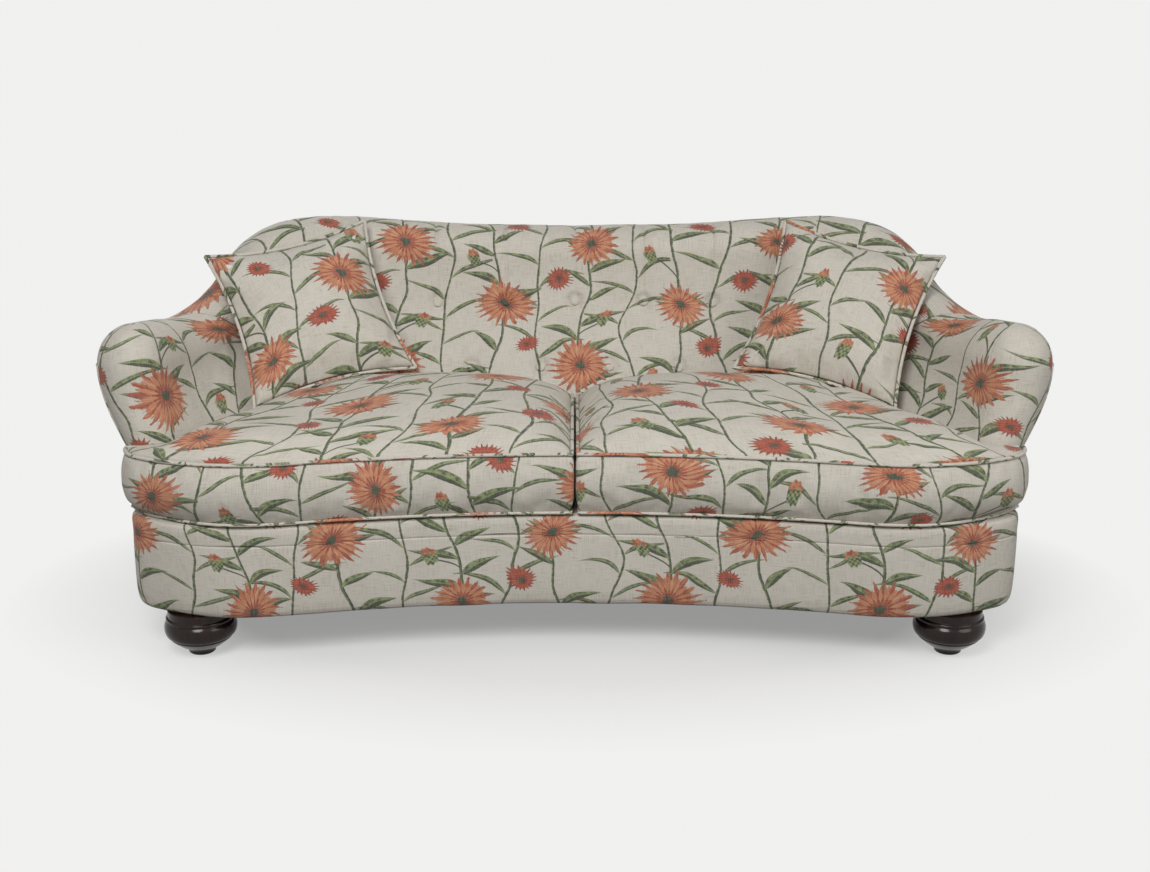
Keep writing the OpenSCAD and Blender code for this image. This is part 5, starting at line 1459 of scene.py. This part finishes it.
@dataclass
class Arms:
    """Padded arms: the cover of the inside, roll and rounded front, the outside panel, and the welt."""

    plan: Plan
    shell: Shell
    panel_gap: float = 1.4
    welt_r: float = 2.6
    hem_z: float = 105.3
    wall: float = 4.0
    cloth_shift: float = 0.83
    core: Place = (875.0, -40.0, 480.0)
    panel_core: Place = (860.0, -40.0, 300.0)

    def _cover(self) -> list[Patch]:
        """Grids of the right cover: inner face, front and outer roll share their edges."""
        sh = self.shell
        roll = np.linspace(1, 2, 30)
        face = np.concatenate([np.linspace(-1, 0, 14)[:-1], np.linspace(0, 1, 44)[:-1], roll])
        u, w = np.meshgrid(np.linspace(sh.junction, sh.last, 56), face, indexing="ij")
        inner = sh.inner(sh.arm_station(u, w)).at(w)
        v, w = np.meshgrid(np.linspace(0, 1, 46), face, indexing="ij")
        nose = sh.nose(v).at(w)
        v, w = np.meshgrid(np.linspace(0, 1, 12), roll, indexing="ij")
        fan = sh.fan(v).at(w)
        u, w = np.meshgrid(np.linspace(sh.last, sh.junction, 56), roll, indexing="ij")
        outer = sh.outer(u).at(w)
        patches, across = [], 0.0
        for grid in (inner, nose, fan, outer):
            uv = cloth_uv(grid, (across, 0.0))
            if grid.shape[1] == len(roll):
                uv[..., 1] += 0.44
            across = float(uv[-1, :, 0].mean())
            patches.append(Patch(self._eased(grid), uv))
        return patches

    def _eased(self, grid: np.ndarray) -> np.ndarray:
        """The skin with its padding's softness: broad shallow waves and narrow, upright ones.

        Both fade out towards the foot and round the tip of the roll.
        """
        n = grid_normals(grid, self.core)
        z = grid[..., 2]
        soft = ripple(grid, 11, 190) * 1.6 + ripple(grid * [1, 1, 0.35], 12, 70) * 0.7
        fade = smooth((z - 300) / 60) * smooth(np.linalg.norm(grid - [955, -210, 700], axis=-1) / 90)
        return grid + n * (soft * fade)[..., None]

    def _panel(self) -> list[Patch]:
        """Grid of the right outside panel: turned under at the hem, up the side, in under the roll."""
        sh = self.shell
        low = [(self.hem_z, 9.0), (self.hem_z + 2, 5.0), (self.hem_z + 8, 1.8), (self.hem_z + 22, 0.0),
               (160.0, 0.0), (215.0, 0.0), (262.0, 0.0)]
        w = np.concatenate([np.linspace(-0.16, 0, 8), np.linspace(0, 1, 40)[1:]])
        fans = np.linspace(0, 1, 14)
        us = np.linspace(sh.last, sh.junction + 0.02, 60)
        grids = []
        for columns, stops in ((lambda ww: sh.fan(fans[:, None] + 0 * ww, past=1.0),
                                mix(sh.seam_rim - 6, sh.rim_last, fans)),
                               (lambda ww: sh.outer(us[:, None] + 0 * ww), spline(sh.rim_s, us))):
            n = len(stops)
            ww = np.broadcast_to(w, (n, len(w)))
            c = columns(ww)
            top = 1 - self.panel_gap / (c.side_z - c.lean_z)
            upper = c.at(np.minimum(ww, top))
            foot = np.stack([np.concatenate([self.plan.rim(stops, t + 0 * stops), np.full((n, 1), z)], -1)
                             for z, t in low], 1)
            grids.append(np.concatenate([foot, upper], 1))
        grid = np.concatenate([grids[0], grids[1][1:]])
        n = grid_normals(grid, self.panel_core)
        fade = smooth((grid[..., 2] - 130) / 60) * smooth((640 - grid[..., 2]) / 60)
        grid = grid + n * (ripple(grid, 21, 260) * 1.3 * fade)[..., None]
        return [patch(grid, (0.5, 0.05))]

    def _welt(self) -> list[Patch]:
        """Path of the welt: up the front edge of the panel, then back along under the roll."""
        sh = self.shell
        w = np.linspace(-0.9, 0.992, 60)
        front = sh.nose(np.ones_like(w)).at(w)
        v = np.linspace(0, 1, 14)[1:]
        fan = sh.fan(v).at(np.ones_like(v))
        us = np.linspace(sh.last, sh.junction, 60)[1:]
        under = sh.outer(us).at(np.ones_like(us))
        path = even(np.concatenate([front, fan, under]), 260)
        return tube(path, self.welt_r, closed=False, sides=10)

    def build(self, dresser: Dresser) -> None:
        """Builds both arms."""
        cover, panel, welt = self._cover(), self._panel(), self._welt()
        for side in Side:
            shift = self.cloth_shift
            dresser.cover(f"arm_cover_{side.word}", mirrored(cover, side, shift), side.place(self.core),
                          self.wall, f"inside_arm_cover_{side.word}", 0.8)
            dresser.cover(f"arm_outside_{side.word}", mirrored(panel, side, shift),
                          side.place(self.panel_core), self.wall, f"outside_arm_panel_{side.word}", 0.6)
            piece = build_mesh(f"arm_welt_{side.word}", mirrored(welt, side, shift))
            dresser.place(piece, "sofa_frame", Slot.piping_cloth, [])


@dataclass
class Back:
    """Tufted back with its rolled top and wings, the outside back, and thirteen covered buttons.

    Each depth of the tufting has its radius or width beside it: tuft and bowl are a dimple's sharp
    and broad part, and swell is the cloth between the pleats. A station is so many mm along the back.
    """

    plan: Plan
    shell: Shell
    tuft: float = 16.0
    tuft_r: float = 17.5
    bowl: float = 6.0
    bowl_r: float = 44.0
    wadding: float = 14.4
    crease: tuple[float, float] = (3.4, 5.4)
    crease_w: float = 4.0
    crease_end_z: float = 392.0
    pleat_w: float = 4.5
    swell: float = 2.6
    swell_w: float = 34.0
    low_z: float = 505.0
    high_z: float = 650.0
    station: float = 129.0
    button_r: float = 11.0
    shank: float = 16.6
    panel_gap: float = 1.4
    apart: float = 0.05
    core: Place = (0.0, 420.0, 560.0)
    panel_core: Place = (0.0, 300.0, 400.0)
    low: np.ndarray = field(default_factory=lambda: np.arange(-5, 6, 2) * 2 / 3)
    high: np.ndarray = field(default_factory=lambda: np.arange(-6, 7, 2) * 2 / 3)
    match: dict = field(default_factory=dict)

    def _places(self) -> list[tuple[float, float]]:
        """Station and height of each button, the lower row first."""
        return [(b, z) for row, z in ((self.low, self.low_z), (self.high, self.high_z)) for b in row]

    def _sink(self, u: np.ndarray, h: np.ndarray) -> np.ndarray:
        """Depth in mm below the plain skin at station u and height h, followed over the roll.

        Each button sinks the cloth by a sharp and a broad bell; creases run on straight lines
        from button to button, deepest at their ends; above the upper row one pleat rises from
        each button over the top, and the cloth swells between them. No dimple goes
        deeper than the wadding, which leaves a flat floor round each button.

        Args:
            u: stations of the skin's points.
            h: their heights.

        Returns:
            The depth at each point.
        """
        x = u * self.station
        sink = np.zeros_like(x)
        for b, z in self._places():
            r = np.hypot(x - b * self.station, h - z)
            bowl = self.bowl * np.exp(-((r / self.bowl_r) ** 1.6))
            sink += self.tuft * np.exp(-((r / self.tuft_r) ** 4)) + bowl
        ends = [(b, self.high_z, c, self.low_z) for b in self.high for c in self.low if abs(b - c) < 0.7]
        ends += [(b, self.low_z, b, self.crease_end_z) for b in self.low]
        rng = np.random.default_rng(8)
        for b, z0, c, z1 in ends:
            x0, x1 = b * self.station, c * self.station
            d = np.array([x1 - x0, z1 - z0])
            length = float(np.hypot(*d))
            t = ((x - x0) * d[0] + (h - z0) * d[1]) / length**2
            off = ((x - x0) * d[1] - (h - z0) * d[0]) / length + 5 * np.sin(t * math.pi) * rng.uniform(-1, 1)
            deep = rng.uniform(*self.crease) * (0.16 + 0.84 * (2 * np.clip(t, 0, 1) - 1) ** 2)
            crease = deep * np.exp(-np.abs(off) / self.crease_w)
            sink += crease * smooth(t * 8 + 0.6) * smooth((1 - t) * 8 + 0.6)
        rise = smooth((h - self.high_z) / 40)
        near = np.min(np.abs(x[..., None] - self.high * self.station), axis=-1)
        run = 4.6 + 2.4 * smooth((h - 770) / 70)
        fade = smooth((905 - h) / 60)
        sink += rise * fade * run * np.exp(-near / self.pleat_w)
        inside = smooth((4.4 * self.station - np.abs(x)) / 60)
        sink -= rise * fade * inside * self.swell * (1 - np.exp(-((near / self.swell_w) ** 2)))
        return np.minimum(sink, self.wadding)

    def _cover(self) -> list[Patch]:
        """The cover: up the face, over the roll and down its outer side, sunk by the tufting.

        It notes the cloth coordinates at each button, so that the print runs on over the buttons.
        """
        sh = self.shell
        close = np.array([0.012, 0.025, 0.04, 0.06, 0.09, 0.13])
        close = np.concatenate([-close[::-1], [0.0], close])
        at = np.concatenate([self.low, self.high])
        us = np.linspace(-sh.junction, sh.junction, 330)
        us = us[np.min(np.abs(us[:, None] - at), axis=1) > 0.15]
        us = np.sort(np.concatenate([us, (at[:, None] + close).ravel()]))
        w = np.concatenate([np.linspace(-1, 0, 12)[:-1], np.linspace(0, 1, 72)[:-1], np.linspace(1, 2, 26)])
        u, ww = np.meshgrid(us, w, indexing="ij")
        face = sh.inner(sh.back_station(u, ww, self.apart)).at(ww)
        uo, wo = np.meshgrid(us, np.linspace(2, 1, 20)[1:], indexing="ij")
        rear = sh.outer(uo).at(wo)
        grid = np.concatenate([face, rear], 1)
        up = lengths_along(grid, 1)
        side = int(np.argmin(np.abs(w - 1.0)))
        past = up - up[:, side:side + 1] + grid[:, side:side + 1, 2]
        h = np.where(np.arange(grid.shape[1]) <= side, grid[..., 2], past)
        station = np.concatenate([sh.back_station(u, ww, self.apart), uo], 1)
        n = grid_normals(grid, self.core)
        edge = smooth((grid[..., 2] - 330) / 60) * smooth((sh.junction - np.abs(station)) / 0.5)
        soft = (ripple(grid, 31, 170) * 1.1 + ripple(grid * [1, 1, 0.5], 32, 60) * 0.5) * edge
        out = grid + n * (soft - self._sink(station, h))[..., None]
        uv = cloth_uv(grid, (0.05, 0.21))
        for b, z in self._places():
            near = np.argmin(np.abs(station - b) * self.station + np.abs(grid[..., 2] - z))
            self.match[(b, z)] = uv.reshape(-1, 2)[near]
        return [Patch(out, uv)]

    def _outside(self) -> list[Patch]:
        """The outside back: turned under at the hem, upright, then leaning to under the roll."""
        sh = self.shell
        low = [(105.3, 9.0), (107.5, 5.0), (113.0, 1.8), (127.0, 0.0), (160.0, 0.0), (215.0, 0.0),
               (262.0, 0.0)]
        us = np.linspace(-sh.junction, sh.junction, 260)
        w = np.concatenate([np.linspace(-0.9, 0, 6), np.linspace(0, 1, 60)[1:]]) + 0 * us[:, None]
        c = sh.outer(us[:, None] + 0 * w)
        upper = c.at(np.minimum(w, 1 - self.panel_gap / (c.side_z - c.lean_z)))
        s, flip = spline(sh.rim_s, np.abs(us)), np.sign(us)
        foot = []
        for z, t in low:
            p = self.plan.rim(s, t + 0 * s)
            foot.append(np.stack([p[:, 0] * flip, p[:, 1], z + 0 * s], -1))
        grid = np.concatenate([np.stack(foot, 1), upper], 1)
        n = grid_normals(grid, self.panel_core)
        fade = smooth((grid[..., 2] - 130) / 60) * smooth((740 - grid[..., 2]) / 60)
        return [patch(grid + n * (ripple(grid, 41, 320) * 1.4 * fade)[..., None], (0.3, 0.07))]

    def _button(self, b: float, z: float) -> Patch:
        """One button: a domed profile carried round the normal of the face, its shank in the dimple.

        Args:
            b: its station.
            z: its height.

        Returns:
            Its patch, with the cloth coordinates of the cover round it.
        """
        sh = self.shell
        c = sh.inner(np.array([b]))
        w = (z - sh.lean_in_z) / (float(c.side_z[0]) - sh.lean_in_z)
        p, q = c.at(np.array([w]))[0], c.at(np.array([w + 0.02]))[0]
        turn = np.radians(spline(sh.turn_in, np.array([abs(b)]))[0]) * np.sign(b)
        d = np.array([math.sin(turn), math.cos(turn), 0.0])
        up = (q - p) / np.linalg.norm(q - p)
        out = np.cross(up, np.cross(-d, up))
        out /= np.linalg.norm(out)
        side = np.cross(up, out)
        r = self.button_r
        t = np.linspace(0, 1, 15)
        dome = np.stack([r * np.cos(t * math.pi / 2) ** 0.8, 5.2 + 4.6 * np.sin(t * math.pi / 2)], -1)
        profile = np.vstack([[(0, 0.6), (1.4, 0.6), (r * 0.8, 2.6), (r * 0.97, 4.0)], dome])
        a = np.linspace(0, 2 * math.pi, 33)
        ring = np.cos(a)[:, None, None] * side + np.sin(a)[:, None, None] * up
        points = p - out * self.shank + ring * profile[None, :, :1] + out * profile[None, :, 1:]
        flat = profile[None, :, :1] * MM * np.stack([np.cos(a), np.sin(a)], -1)[:, None]
        return Patch(points, flat + self.match[(b, z)])

    def build(self, dresser: Dresser) -> None:
        """Builds the back."""
        dresser.cover("back_cover", self._cover(), self.core, 5.0, "inside_back_cover", 0.8)
        dresser.cover("back_outside", self._outside(), self.panel_core, 4.0, "outside_back_panel", 0.6)
        piece = build_mesh("tufting_buttons", [self._button(b, z) for b, z in self._places()])
        dresser.place(piece, "sofa_frame", Slot.cover_cloth, ["back_buttons"])


@dataclass
class SeatCushions:
    """Two boxed seat cushions, crowned, piped along both seams, squeezed higher at the back.

    slack is the share of the crown that is there before the cover swells.
    """

    plan: Plan
    low_z: float = 318.0
    welt_z: float = 449.0
    under_z: float = 311.7
    crown: float = 52.0
    rise: float = 42.0
    gap: float = 3.0
    clear: float = 5.0
    proud: float = 8.0
    swell: float = 6.0
    welt_in: float = 10.0
    cord_r: float = 4.0
    slack: float = 0.93
    tuck: float = 12.0
    corner_tuck: float = 22.0
    tuck_lift: float = 0.12
    soften: float = 12.0
    cloth_shift: float = 0.21
    across: int = 104
    deep: int = 58

    def _rise(self, p: np.ndarray) -> np.ndarray:
        """How much the cushion is squeezed up at a plan point: sines of its place back and across.

        It is squeezed less beside the arm.
        """
        back = np.clip((p[..., 1] + 300.0) / 380.0, 0, 1)
        side = np.clip(np.abs(p[..., 0]) / 360.0, 0, 1)
        arm = 1 - 0.9 * np.clip((np.abs(p[..., 0]) - 905.0 + 425.0) / 260.0, 0, 1)
        return self.rise * np.sin(back * math.pi / 2) * np.sin(side * math.pi / 2) * arm

    def _loop(self) -> tuple[np.ndarray, np.ndarray]:
        """Outline from the front's middle end round by the arm: its points and its inward normals.

        The normals are averaged over 12 mm each way, which rounds the corners as cloth does.
        """
        front, back, arm, middle = seat_sides(self.plan, -self.proud, self.clear, self.gap / 2)
        sides = (front, arm, back[::-1], middle[::-1])
        ring, fine = (np.concatenate([even(side, n)[:-1] for side, n in zip(sides, (long, short) * 2)])
                      for long, short in ((self.across, self.deep), (900, 500)))
        d = np.roll(fine, -1, 0) - fine
        length = np.linalg.norm(d, axis=1)
        n = np.stack([-d[:, 1], d[:, 0]], -1) / np.maximum(length[:, None], TINY)
        run = np.concatenate([[0], np.cumsum(length)])
        total = run[-1]
        sums = np.concatenate([np.zeros((1, 2)), np.cumsum(n * length[:, None], axis=0)])
        mid = run[:-1]

        def reach(at: np.ndarray) -> np.ndarray:
            """The summed normals up to a length, round and round."""
            laps, rest = np.divmod(at, total)
            return np.stack([np.interp(rest, run, sums[:, k]) for k in (0, 1)], -1) + laps[:, None] * sums[-1]

        mean = (reach(mid + self.soften) - reach(mid - self.soften)) / (2 * self.soften)
        mean /= np.maximum(np.sum(mean**2, axis=1, keepdims=True), 0.5)
        near = np.argmin(np.linalg.norm(ring[:, None] - fine[None], axis=-1), axis=1)
        return ring, mean[near]

    def _tuck(self, ring: np.ndarray) -> np.ndarray:
        """How far the lower seam is inside the outline, more so at the front corner by the arm."""
        out, front = (ring[:, 0] - 740.0) / 150.0, (-324.0 - ring[:, 1]) / 47.0
        return self.tuck + self.corner_tuck * np.clip(out, 0, 1) * np.clip(front, 0, 1)

    def _split(self, ring: np.ndarray) -> list[np.ndarray]:
        """A ring cut back into its four sides, each with both of its corners."""
        n, m = self.across - 1, self.deep - 1
        at = np.cumsum([0, n, m, n, m])
        closed = np.concatenate([ring, ring[:1]])
        return [closed[at[k]:at[k + 1] + 1] for k in range(4)]

    def _fill(self, ring: np.ndarray) -> np.ndarray:
        """Fills a ring in plan or in space."""
        front, arm, back, middle = self._split(ring)
        return coons(front, back[::-1], middle[::-1], arm)

    def patches(self) -> list[Patch]:
        """Top, boxing and underside of the right cushion, sharing the points of both seams."""
        ring, inward = self._loop()
        free = ((ring[:, 1] < -326.0) & (ring[:, 0] > self.gap)).astype(float)
        tuck = self._tuck(ring)
        rows = np.linspace(0, 1, 17)
        key = np.array([0.0, 0.1, 0.22, 0.45, 0.7, 0.88, 0.96, 1.0])
        drawn = np.interp(rows, key, [1, 0.42, 0.12, 0, 0, 0, 0, 0])
        puff = np.interp(rows, key, [0, 0.25, 0.62, 1, 0.72, 0.22, 0, 0])
        tops = np.interp(rows, key, [0, 0, 0, 0, 0, 0.08, 0.42, 1]) * self.welt_in
        walls = []
        for f, dr, pf, tp in zip(rows, drawn, puff, tops):
            q = ring + inward * (dr * tuck - pf * self.swell * free + tp)[:, None]
            z = mix(self.low_z - self.tuck_lift * (tuck - self.tuck), self.welt_z, f) + f * self._rise(q)
            walls.append(np.concatenate([q, z[:, None]], -1))
        walls = np.stack(walls, 1)
        plan = self._fill(walls[:, -1, :2])
        a = np.linspace(0, 1, self.across)[:, None]
        b = np.linspace(0, 1, self.deep)[None]
        # Places on the top as shares of the 230 mm over which the crown falls away to the seam.
        far_a = (1 - np.abs(2 * a - 1)) * 450 / 230
        far_b = (1 - np.abs(2 * b - 1)) * 240 / 230
        fall = (1 - (1 - np.clip(far_a, 0, 1)) ** 3.5) * (1 - (1 - np.clip(far_b, 0, 1)) ** 3.5)
        z = self.welt_z + self.crown * self.slack * fall**0.85 + self._rise(plan) * mix(1.0, 0.85, fall)
        top = np.concatenate([plan, z[..., None]], -1)
        top[..., 2] += ripple(top, 51, 130) * 1.2 * fall
        floor = self._fill(walls[:, 0])
        floor[..., 2] -= (self.low_z - self.under_z) * np.clip(np.minimum(far_a, far_b) * 6.0, 0, 1) ** 0.5
        edge = np.zeros((self.across, self.deep))
        edge[[0, -1]] = edge[:, [0, -1]] = 1.0
        closed = np.concatenate([walls, walls[:1]])
        stiff = 1 - np.concatenate([free, free[:1]])[:, None] * smooth(np.minimum(rows, 1 - rows) * 6)[None]
        return [Patch(closed, cloth_uv(closed) + [0.13, -0.131], stiff),
                Patch(top, cloth_uv(top, (0.13, 0.0)), edge),
                Patch(floor, cloth_uv(floor, (0.4, 0.6)), np.ones_like(edge))]

    def cords(self) -> list[Patch]:
        """Piping round both seams, just outside them."""
        ring, inward = self._loop()
        out = self.cord_r + 1.5
        tuck = self._tuck(ring)
        low = ring + inward * (tuck - out)[:, None]
        high = ring + inward * (self.welt_in - out)
        paths = (np.concatenate([low, (self.low_z + 0.2 - self.tuck_lift * (tuck - self.tuck))[:, None]], -1),
                 np.concatenate([high, (self.welt_z - 0.2 + self._rise(high))[:, None]], -1))
        cut = []
        for k, path in enumerate(paths):
            closed = even(np.concatenate([path, path[:1]]), 760)[:-1]
            cut += tube(closed, self.cord_r - 0.7 * (1 - k), at=0.9 * k)
        return cut

    def build(self, dresser: Dresser) -> None:
        """Builds both cushions; the second swells on its own, so the two differ a little."""
        for side, spare in ((Side.LEFT, 0.018), (Side.RIGHT, 0.022)):
            dresser.cushion("seat", side, mirrored(self.patches(), side, self.cloth_shift),
                            mirrored(self.cords(), side, self.cloth_shift),
                            Swelling(pressure=4.0, spare=spare, cap=9.0), 0.85)


@dataclass
class ScatterCushions:
    """Two square cushions, knife edged and piped, standing on a corner edge against arm and back.

    slack is the share of their thickness that is there before the covers swell.
    """

    side_len: float = 386.0
    thick: float = 112.0
    slack: float = 0.95
    draw: float = 24.0
    cord_r: float = 4.0
    at: tuple[float, float, float] = (620.0, 84.0, 658.3)
    yaw: float = -17.0
    lean: float = 33.0
    roll: float = 11.0
    cloth_shift: float = 0.66
    n: int = 60

    def _placed(self, points: np.ndarray) -> np.ndarray:
        """Points of the cushion's own frame, in place: stood up, rolled, leant back and turned."""
        def spin(axis: int, degrees: float) -> np.ndarray:
            """Matrix of the turn about one axis."""
            c, s = math.cos(math.radians(degrees)), math.sin(math.radians(degrees))
            m = np.eye(3)
            i, j = [(1, 2), (2, 0), (0, 1)][axis]
            m[i, i], m[i, j], m[j, i], m[j, j] = c, -s, s, c
            return m

        turn = spin(2, self.yaw) @ spin(0, -self.lean) @ spin(1, self.roll) @ spin(0, 90.0)
        return points @ turn.T + self.at

    def _edge(self, extra: float, n: int) -> list[np.ndarray]:
        """The four sides in the cushion's own plane, each drawn in by a parabola.

        Args:
            extra: how far outside the seam they run.
            n: points of each.

        Returns:
            The sides in order round the cushion.
        """
        h = self.side_len / 2 + extra
        f = np.linspace(-1, 1, n)
        side = np.stack([h * f, -h + self.draw * (1 - f * f), 0 * f], -1)
        x, y, z = side.T
        quarters = ((1, 0), (0, 1), (-1, 0), (0, -1))
        return [np.stack([x * c - y * s, x * s + y * c, z], -1) for c, s in quarters]

    def patches(self, seed: int) -> list[Patch]:
        """Front and back panels: the height follows a soft square's distance from the middle.

        Args:
            seed: start of the draws for the waves.

        Returns:
            Both panels.
        """
        south, east, north, west = self._edge(0.0, self.n)
        flat = coons(south, north[::-1], west[::-1], east)
        a = np.abs(np.linspace(-1, 1, self.n))
        fall = np.interp(a, [0, 0.22, 0.45, 0.66, 0.82, 0.9, 0.96, 1.0],
                         [1, 0.985, 0.9, 0.74, 0.52, 0.37, 0.21, 0.0])
        outer, inner = np.minimum(fall[:, None], fall[None]), np.maximum(fall[:, None], fall[None])
        high = outer * inner**0.1 * (self.thick / 2) * self.slack
        edge = (outer <= 0.0).astype(float)
        cut = []
        for sign in (1, -1):
            p = flat.copy()
            p[..., 2] = sign * high
            p[..., 2] += ripple(p, seed + sign, 90) * 1.6 * np.clip(high / 20, 0, 1)
            uv = cloth_uv(flat) + ([0.02, 0.33] if sign > 0 else [1.3, 0.1])
            cut.append(Patch(self._placed(p), uv, edge))
        return cut

    def cords(self) -> list[Patch]:
        """Piping round the edge, on the outside of the seam."""
        out = self.cord_r * math.cos(math.radians(45)) + 0.6
        loop = np.concatenate([s[:-1] for s in self._edge(out, 96)])
        closed = even(np.concatenate([loop, loop[:1]]), 560)[:-1]
        return tube(self._placed(closed), self.cord_r)

    def build(self, dresser: Dresser) -> None:
        """Builds both cushions."""
        for side, spare in ((Side.LEFT, 0.028), (Side.RIGHT, 0.034)):
            dresser.cushion("scatter", side, mirrored(self.patches(60 + side.value), side, self.cloth_shift),
                            mirrored(self.cords(), side, self.cloth_shift),
                            Swelling(pressure=3.0, spare=spare, cap=7.0, bending=0.3), 0.8)


@dataclass
class Studio:
    """Pale floor, soft lamps and the camera of the photograph; lengths in metres."""

    eye: Place = (0.0, -3.6075, 1.4087)
    down: float = 0.2777
    lens: float = 50.0
    sensor: float = 36.0
    aim: Place = (0.0, 0.0, 0.4)
    floor_half: float = 400.0
    floor_tone: str = "#F1F1F0"
    floor_shade: str = "#ECECEB"
    floor_albedo: str = "#8A8A89"
    sky: float = 0.17

    def camera(self) -> None:
        """The camera at the photograph's place."""
        data = bpy.data.cameras.new("view")
        data.lens, data.sensor_width, data.sensor_fit = self.lens, self.sensor, "HORIZONTAL"
        eye = bpy.data.objects.new("view", data)
        eye.location = self.eye
        eye.rotation_euler = (math.pi / 2 - self.down, 0.0, 0.0)
        bpy.context.scene.collection.objects.link(eye)
        bpy.context.scene.camera = eye

    def lamps(self) -> None:
        """Three large soft lamps: a key in front to the left, a fill to the right, and one behind."""
        rig = (("key", (-0.8, -3.1, 3.15), 1.8, 104.0), ("fill", (2.8, -2.2, 2.3), 2.2, 38.0),
               ("back", (-1.2, 3.4, 2.4), 2.4, 34.0))
        for name, place, size, power in rig:
            data = bpy.data.lights.new(name, "AREA")
            data.shape, data.size, data.energy = "DISK", size, power
            lamp = bpy.data.objects.new(name, data)
            lamp.location = place
            lamp.rotation_euler = (Vector(self.aim) - Vector(place)).to_track_quat("-Z", "Y").to_euler()
            bpy.context.scene.collection.objects.link(lamp)

    @staticmethod
    def _seen(g: Graph) -> None:
        """A wire that is 1 for what the eye sees, also in a mirror or through glass, and 0 for light."""
        for name, ray in (("eye", "Camera"), ("mirror", "Glossy"), ("glass", "Transmission")):
            g.add(name, "LightPath", {}, {}, f"Is {ray} Ray")
        g.formula("""
            seen0 = MAXIMUM eye mirror; seen = MAXIMUM seen0 glass
        """)

    def floor(self) -> None:
        """The floor: lit as a grey, and blended to its pale tone by the distance from the sofa; the pale tone
        is a glow, painted light, which also lightens the sofa's shadow on the floor.
        """
        half = self.floor_half / MM
        points = np.array([[[-half, -half, 0], [-half, half, 0]], [[half, -half, 0], [half, half, 0]]])
        floor = build_mesh("floor", [patch(points)], (0.0, 0.0, -1000.0))
        g = Graph(bpy.data.materials.new("studio_floor"))
        g.add("at", "TexCoord", {}, {}, "Object")
        g.add("cloud", "TexNoise", {}, {"Vector": "at", "Scale": 1.5})
        g.formula("mist =! cloud * 0.1 + 0.0")
        g.blend([("color", "mist", self.floor_tone, self.floor_shade)])
        g.add("glow", "Emission", {}, {"Color": "color", "Strength": 1.0})
        g.split("at", "x", "y", "z")
        self._seen(g)
        # Painted light: the glow's share is 0.34 next to the sofa, where it lightens the sofa's shadow, and
        # grows to the whole floor farther off.
        g.formula("""
            xs = x * 0.8; ys = y * 1.25; xx = xs * xs
            rr = ys * ys + xx; away = SQRT rr; far =! away * 2.4 + -1.6
            part = far * 0.66 + 0.34; share = seen * part
        """)
        g.blend([("albedo", "seen", self.floor_albedo, "color")])
        g.add("shader", "BsdfPrincipled", {},
              {"Base Color": "albedo", "Roughness": 0.8, "Specular IOR Level": 0.2})
        g.add("both", "MixShader", {}, {0: "share", 1: "shader", 2: "glow"})
        g.add("out", "OutputMaterial", {}, {"Surface": "both"})
        floor.data.materials.append(g.owner)

    def world(self) -> None:
        """A world as pale as the floor to the eye, and as weak as sky for the light that it gives."""
        g = Graph(bpy.data.worlds.new("studio"))
        self._seen(g)
        g.formula(f"strength = seen * {linear(self.floor_tone)[0] - self.sky} + {self.sky}")
        g.add("light", "Background", {}, {"Color": (1.0, 1.0, 1.0, 1.0), "Strength": "strength"})
        g.add("out", "OutputWorld", {}, {"Surface": "light"})
        bpy.context.scene.world = g.owner

    def build(self) -> None:
        """Sets the stage."""
        self.camera()
        self.lamps()
        self.floor()
        self.world()
        bpy.context.scene.view_settings.view_transform = "Standard"


def main() -> None:
    logging.basicConfig(level=logging.INFO, format="%(name)s: %(message)s")
    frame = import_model()
    Studio().build()
    dresser = Dresser(frame)
    plan = Plan()
    shell = Shell(plan)
    base = Base(plan, shell)
    base.border(dresser)
    base.cloths(dresser)
    base.feet(dresser)
    Arms(plan, shell).build(dresser)
    Back(plan, shell).build(dresser)
    SeatCushions(plan).build(dresser)
    ScatterCushions().build(dresser)


if __name__ == "__main__":
    main()
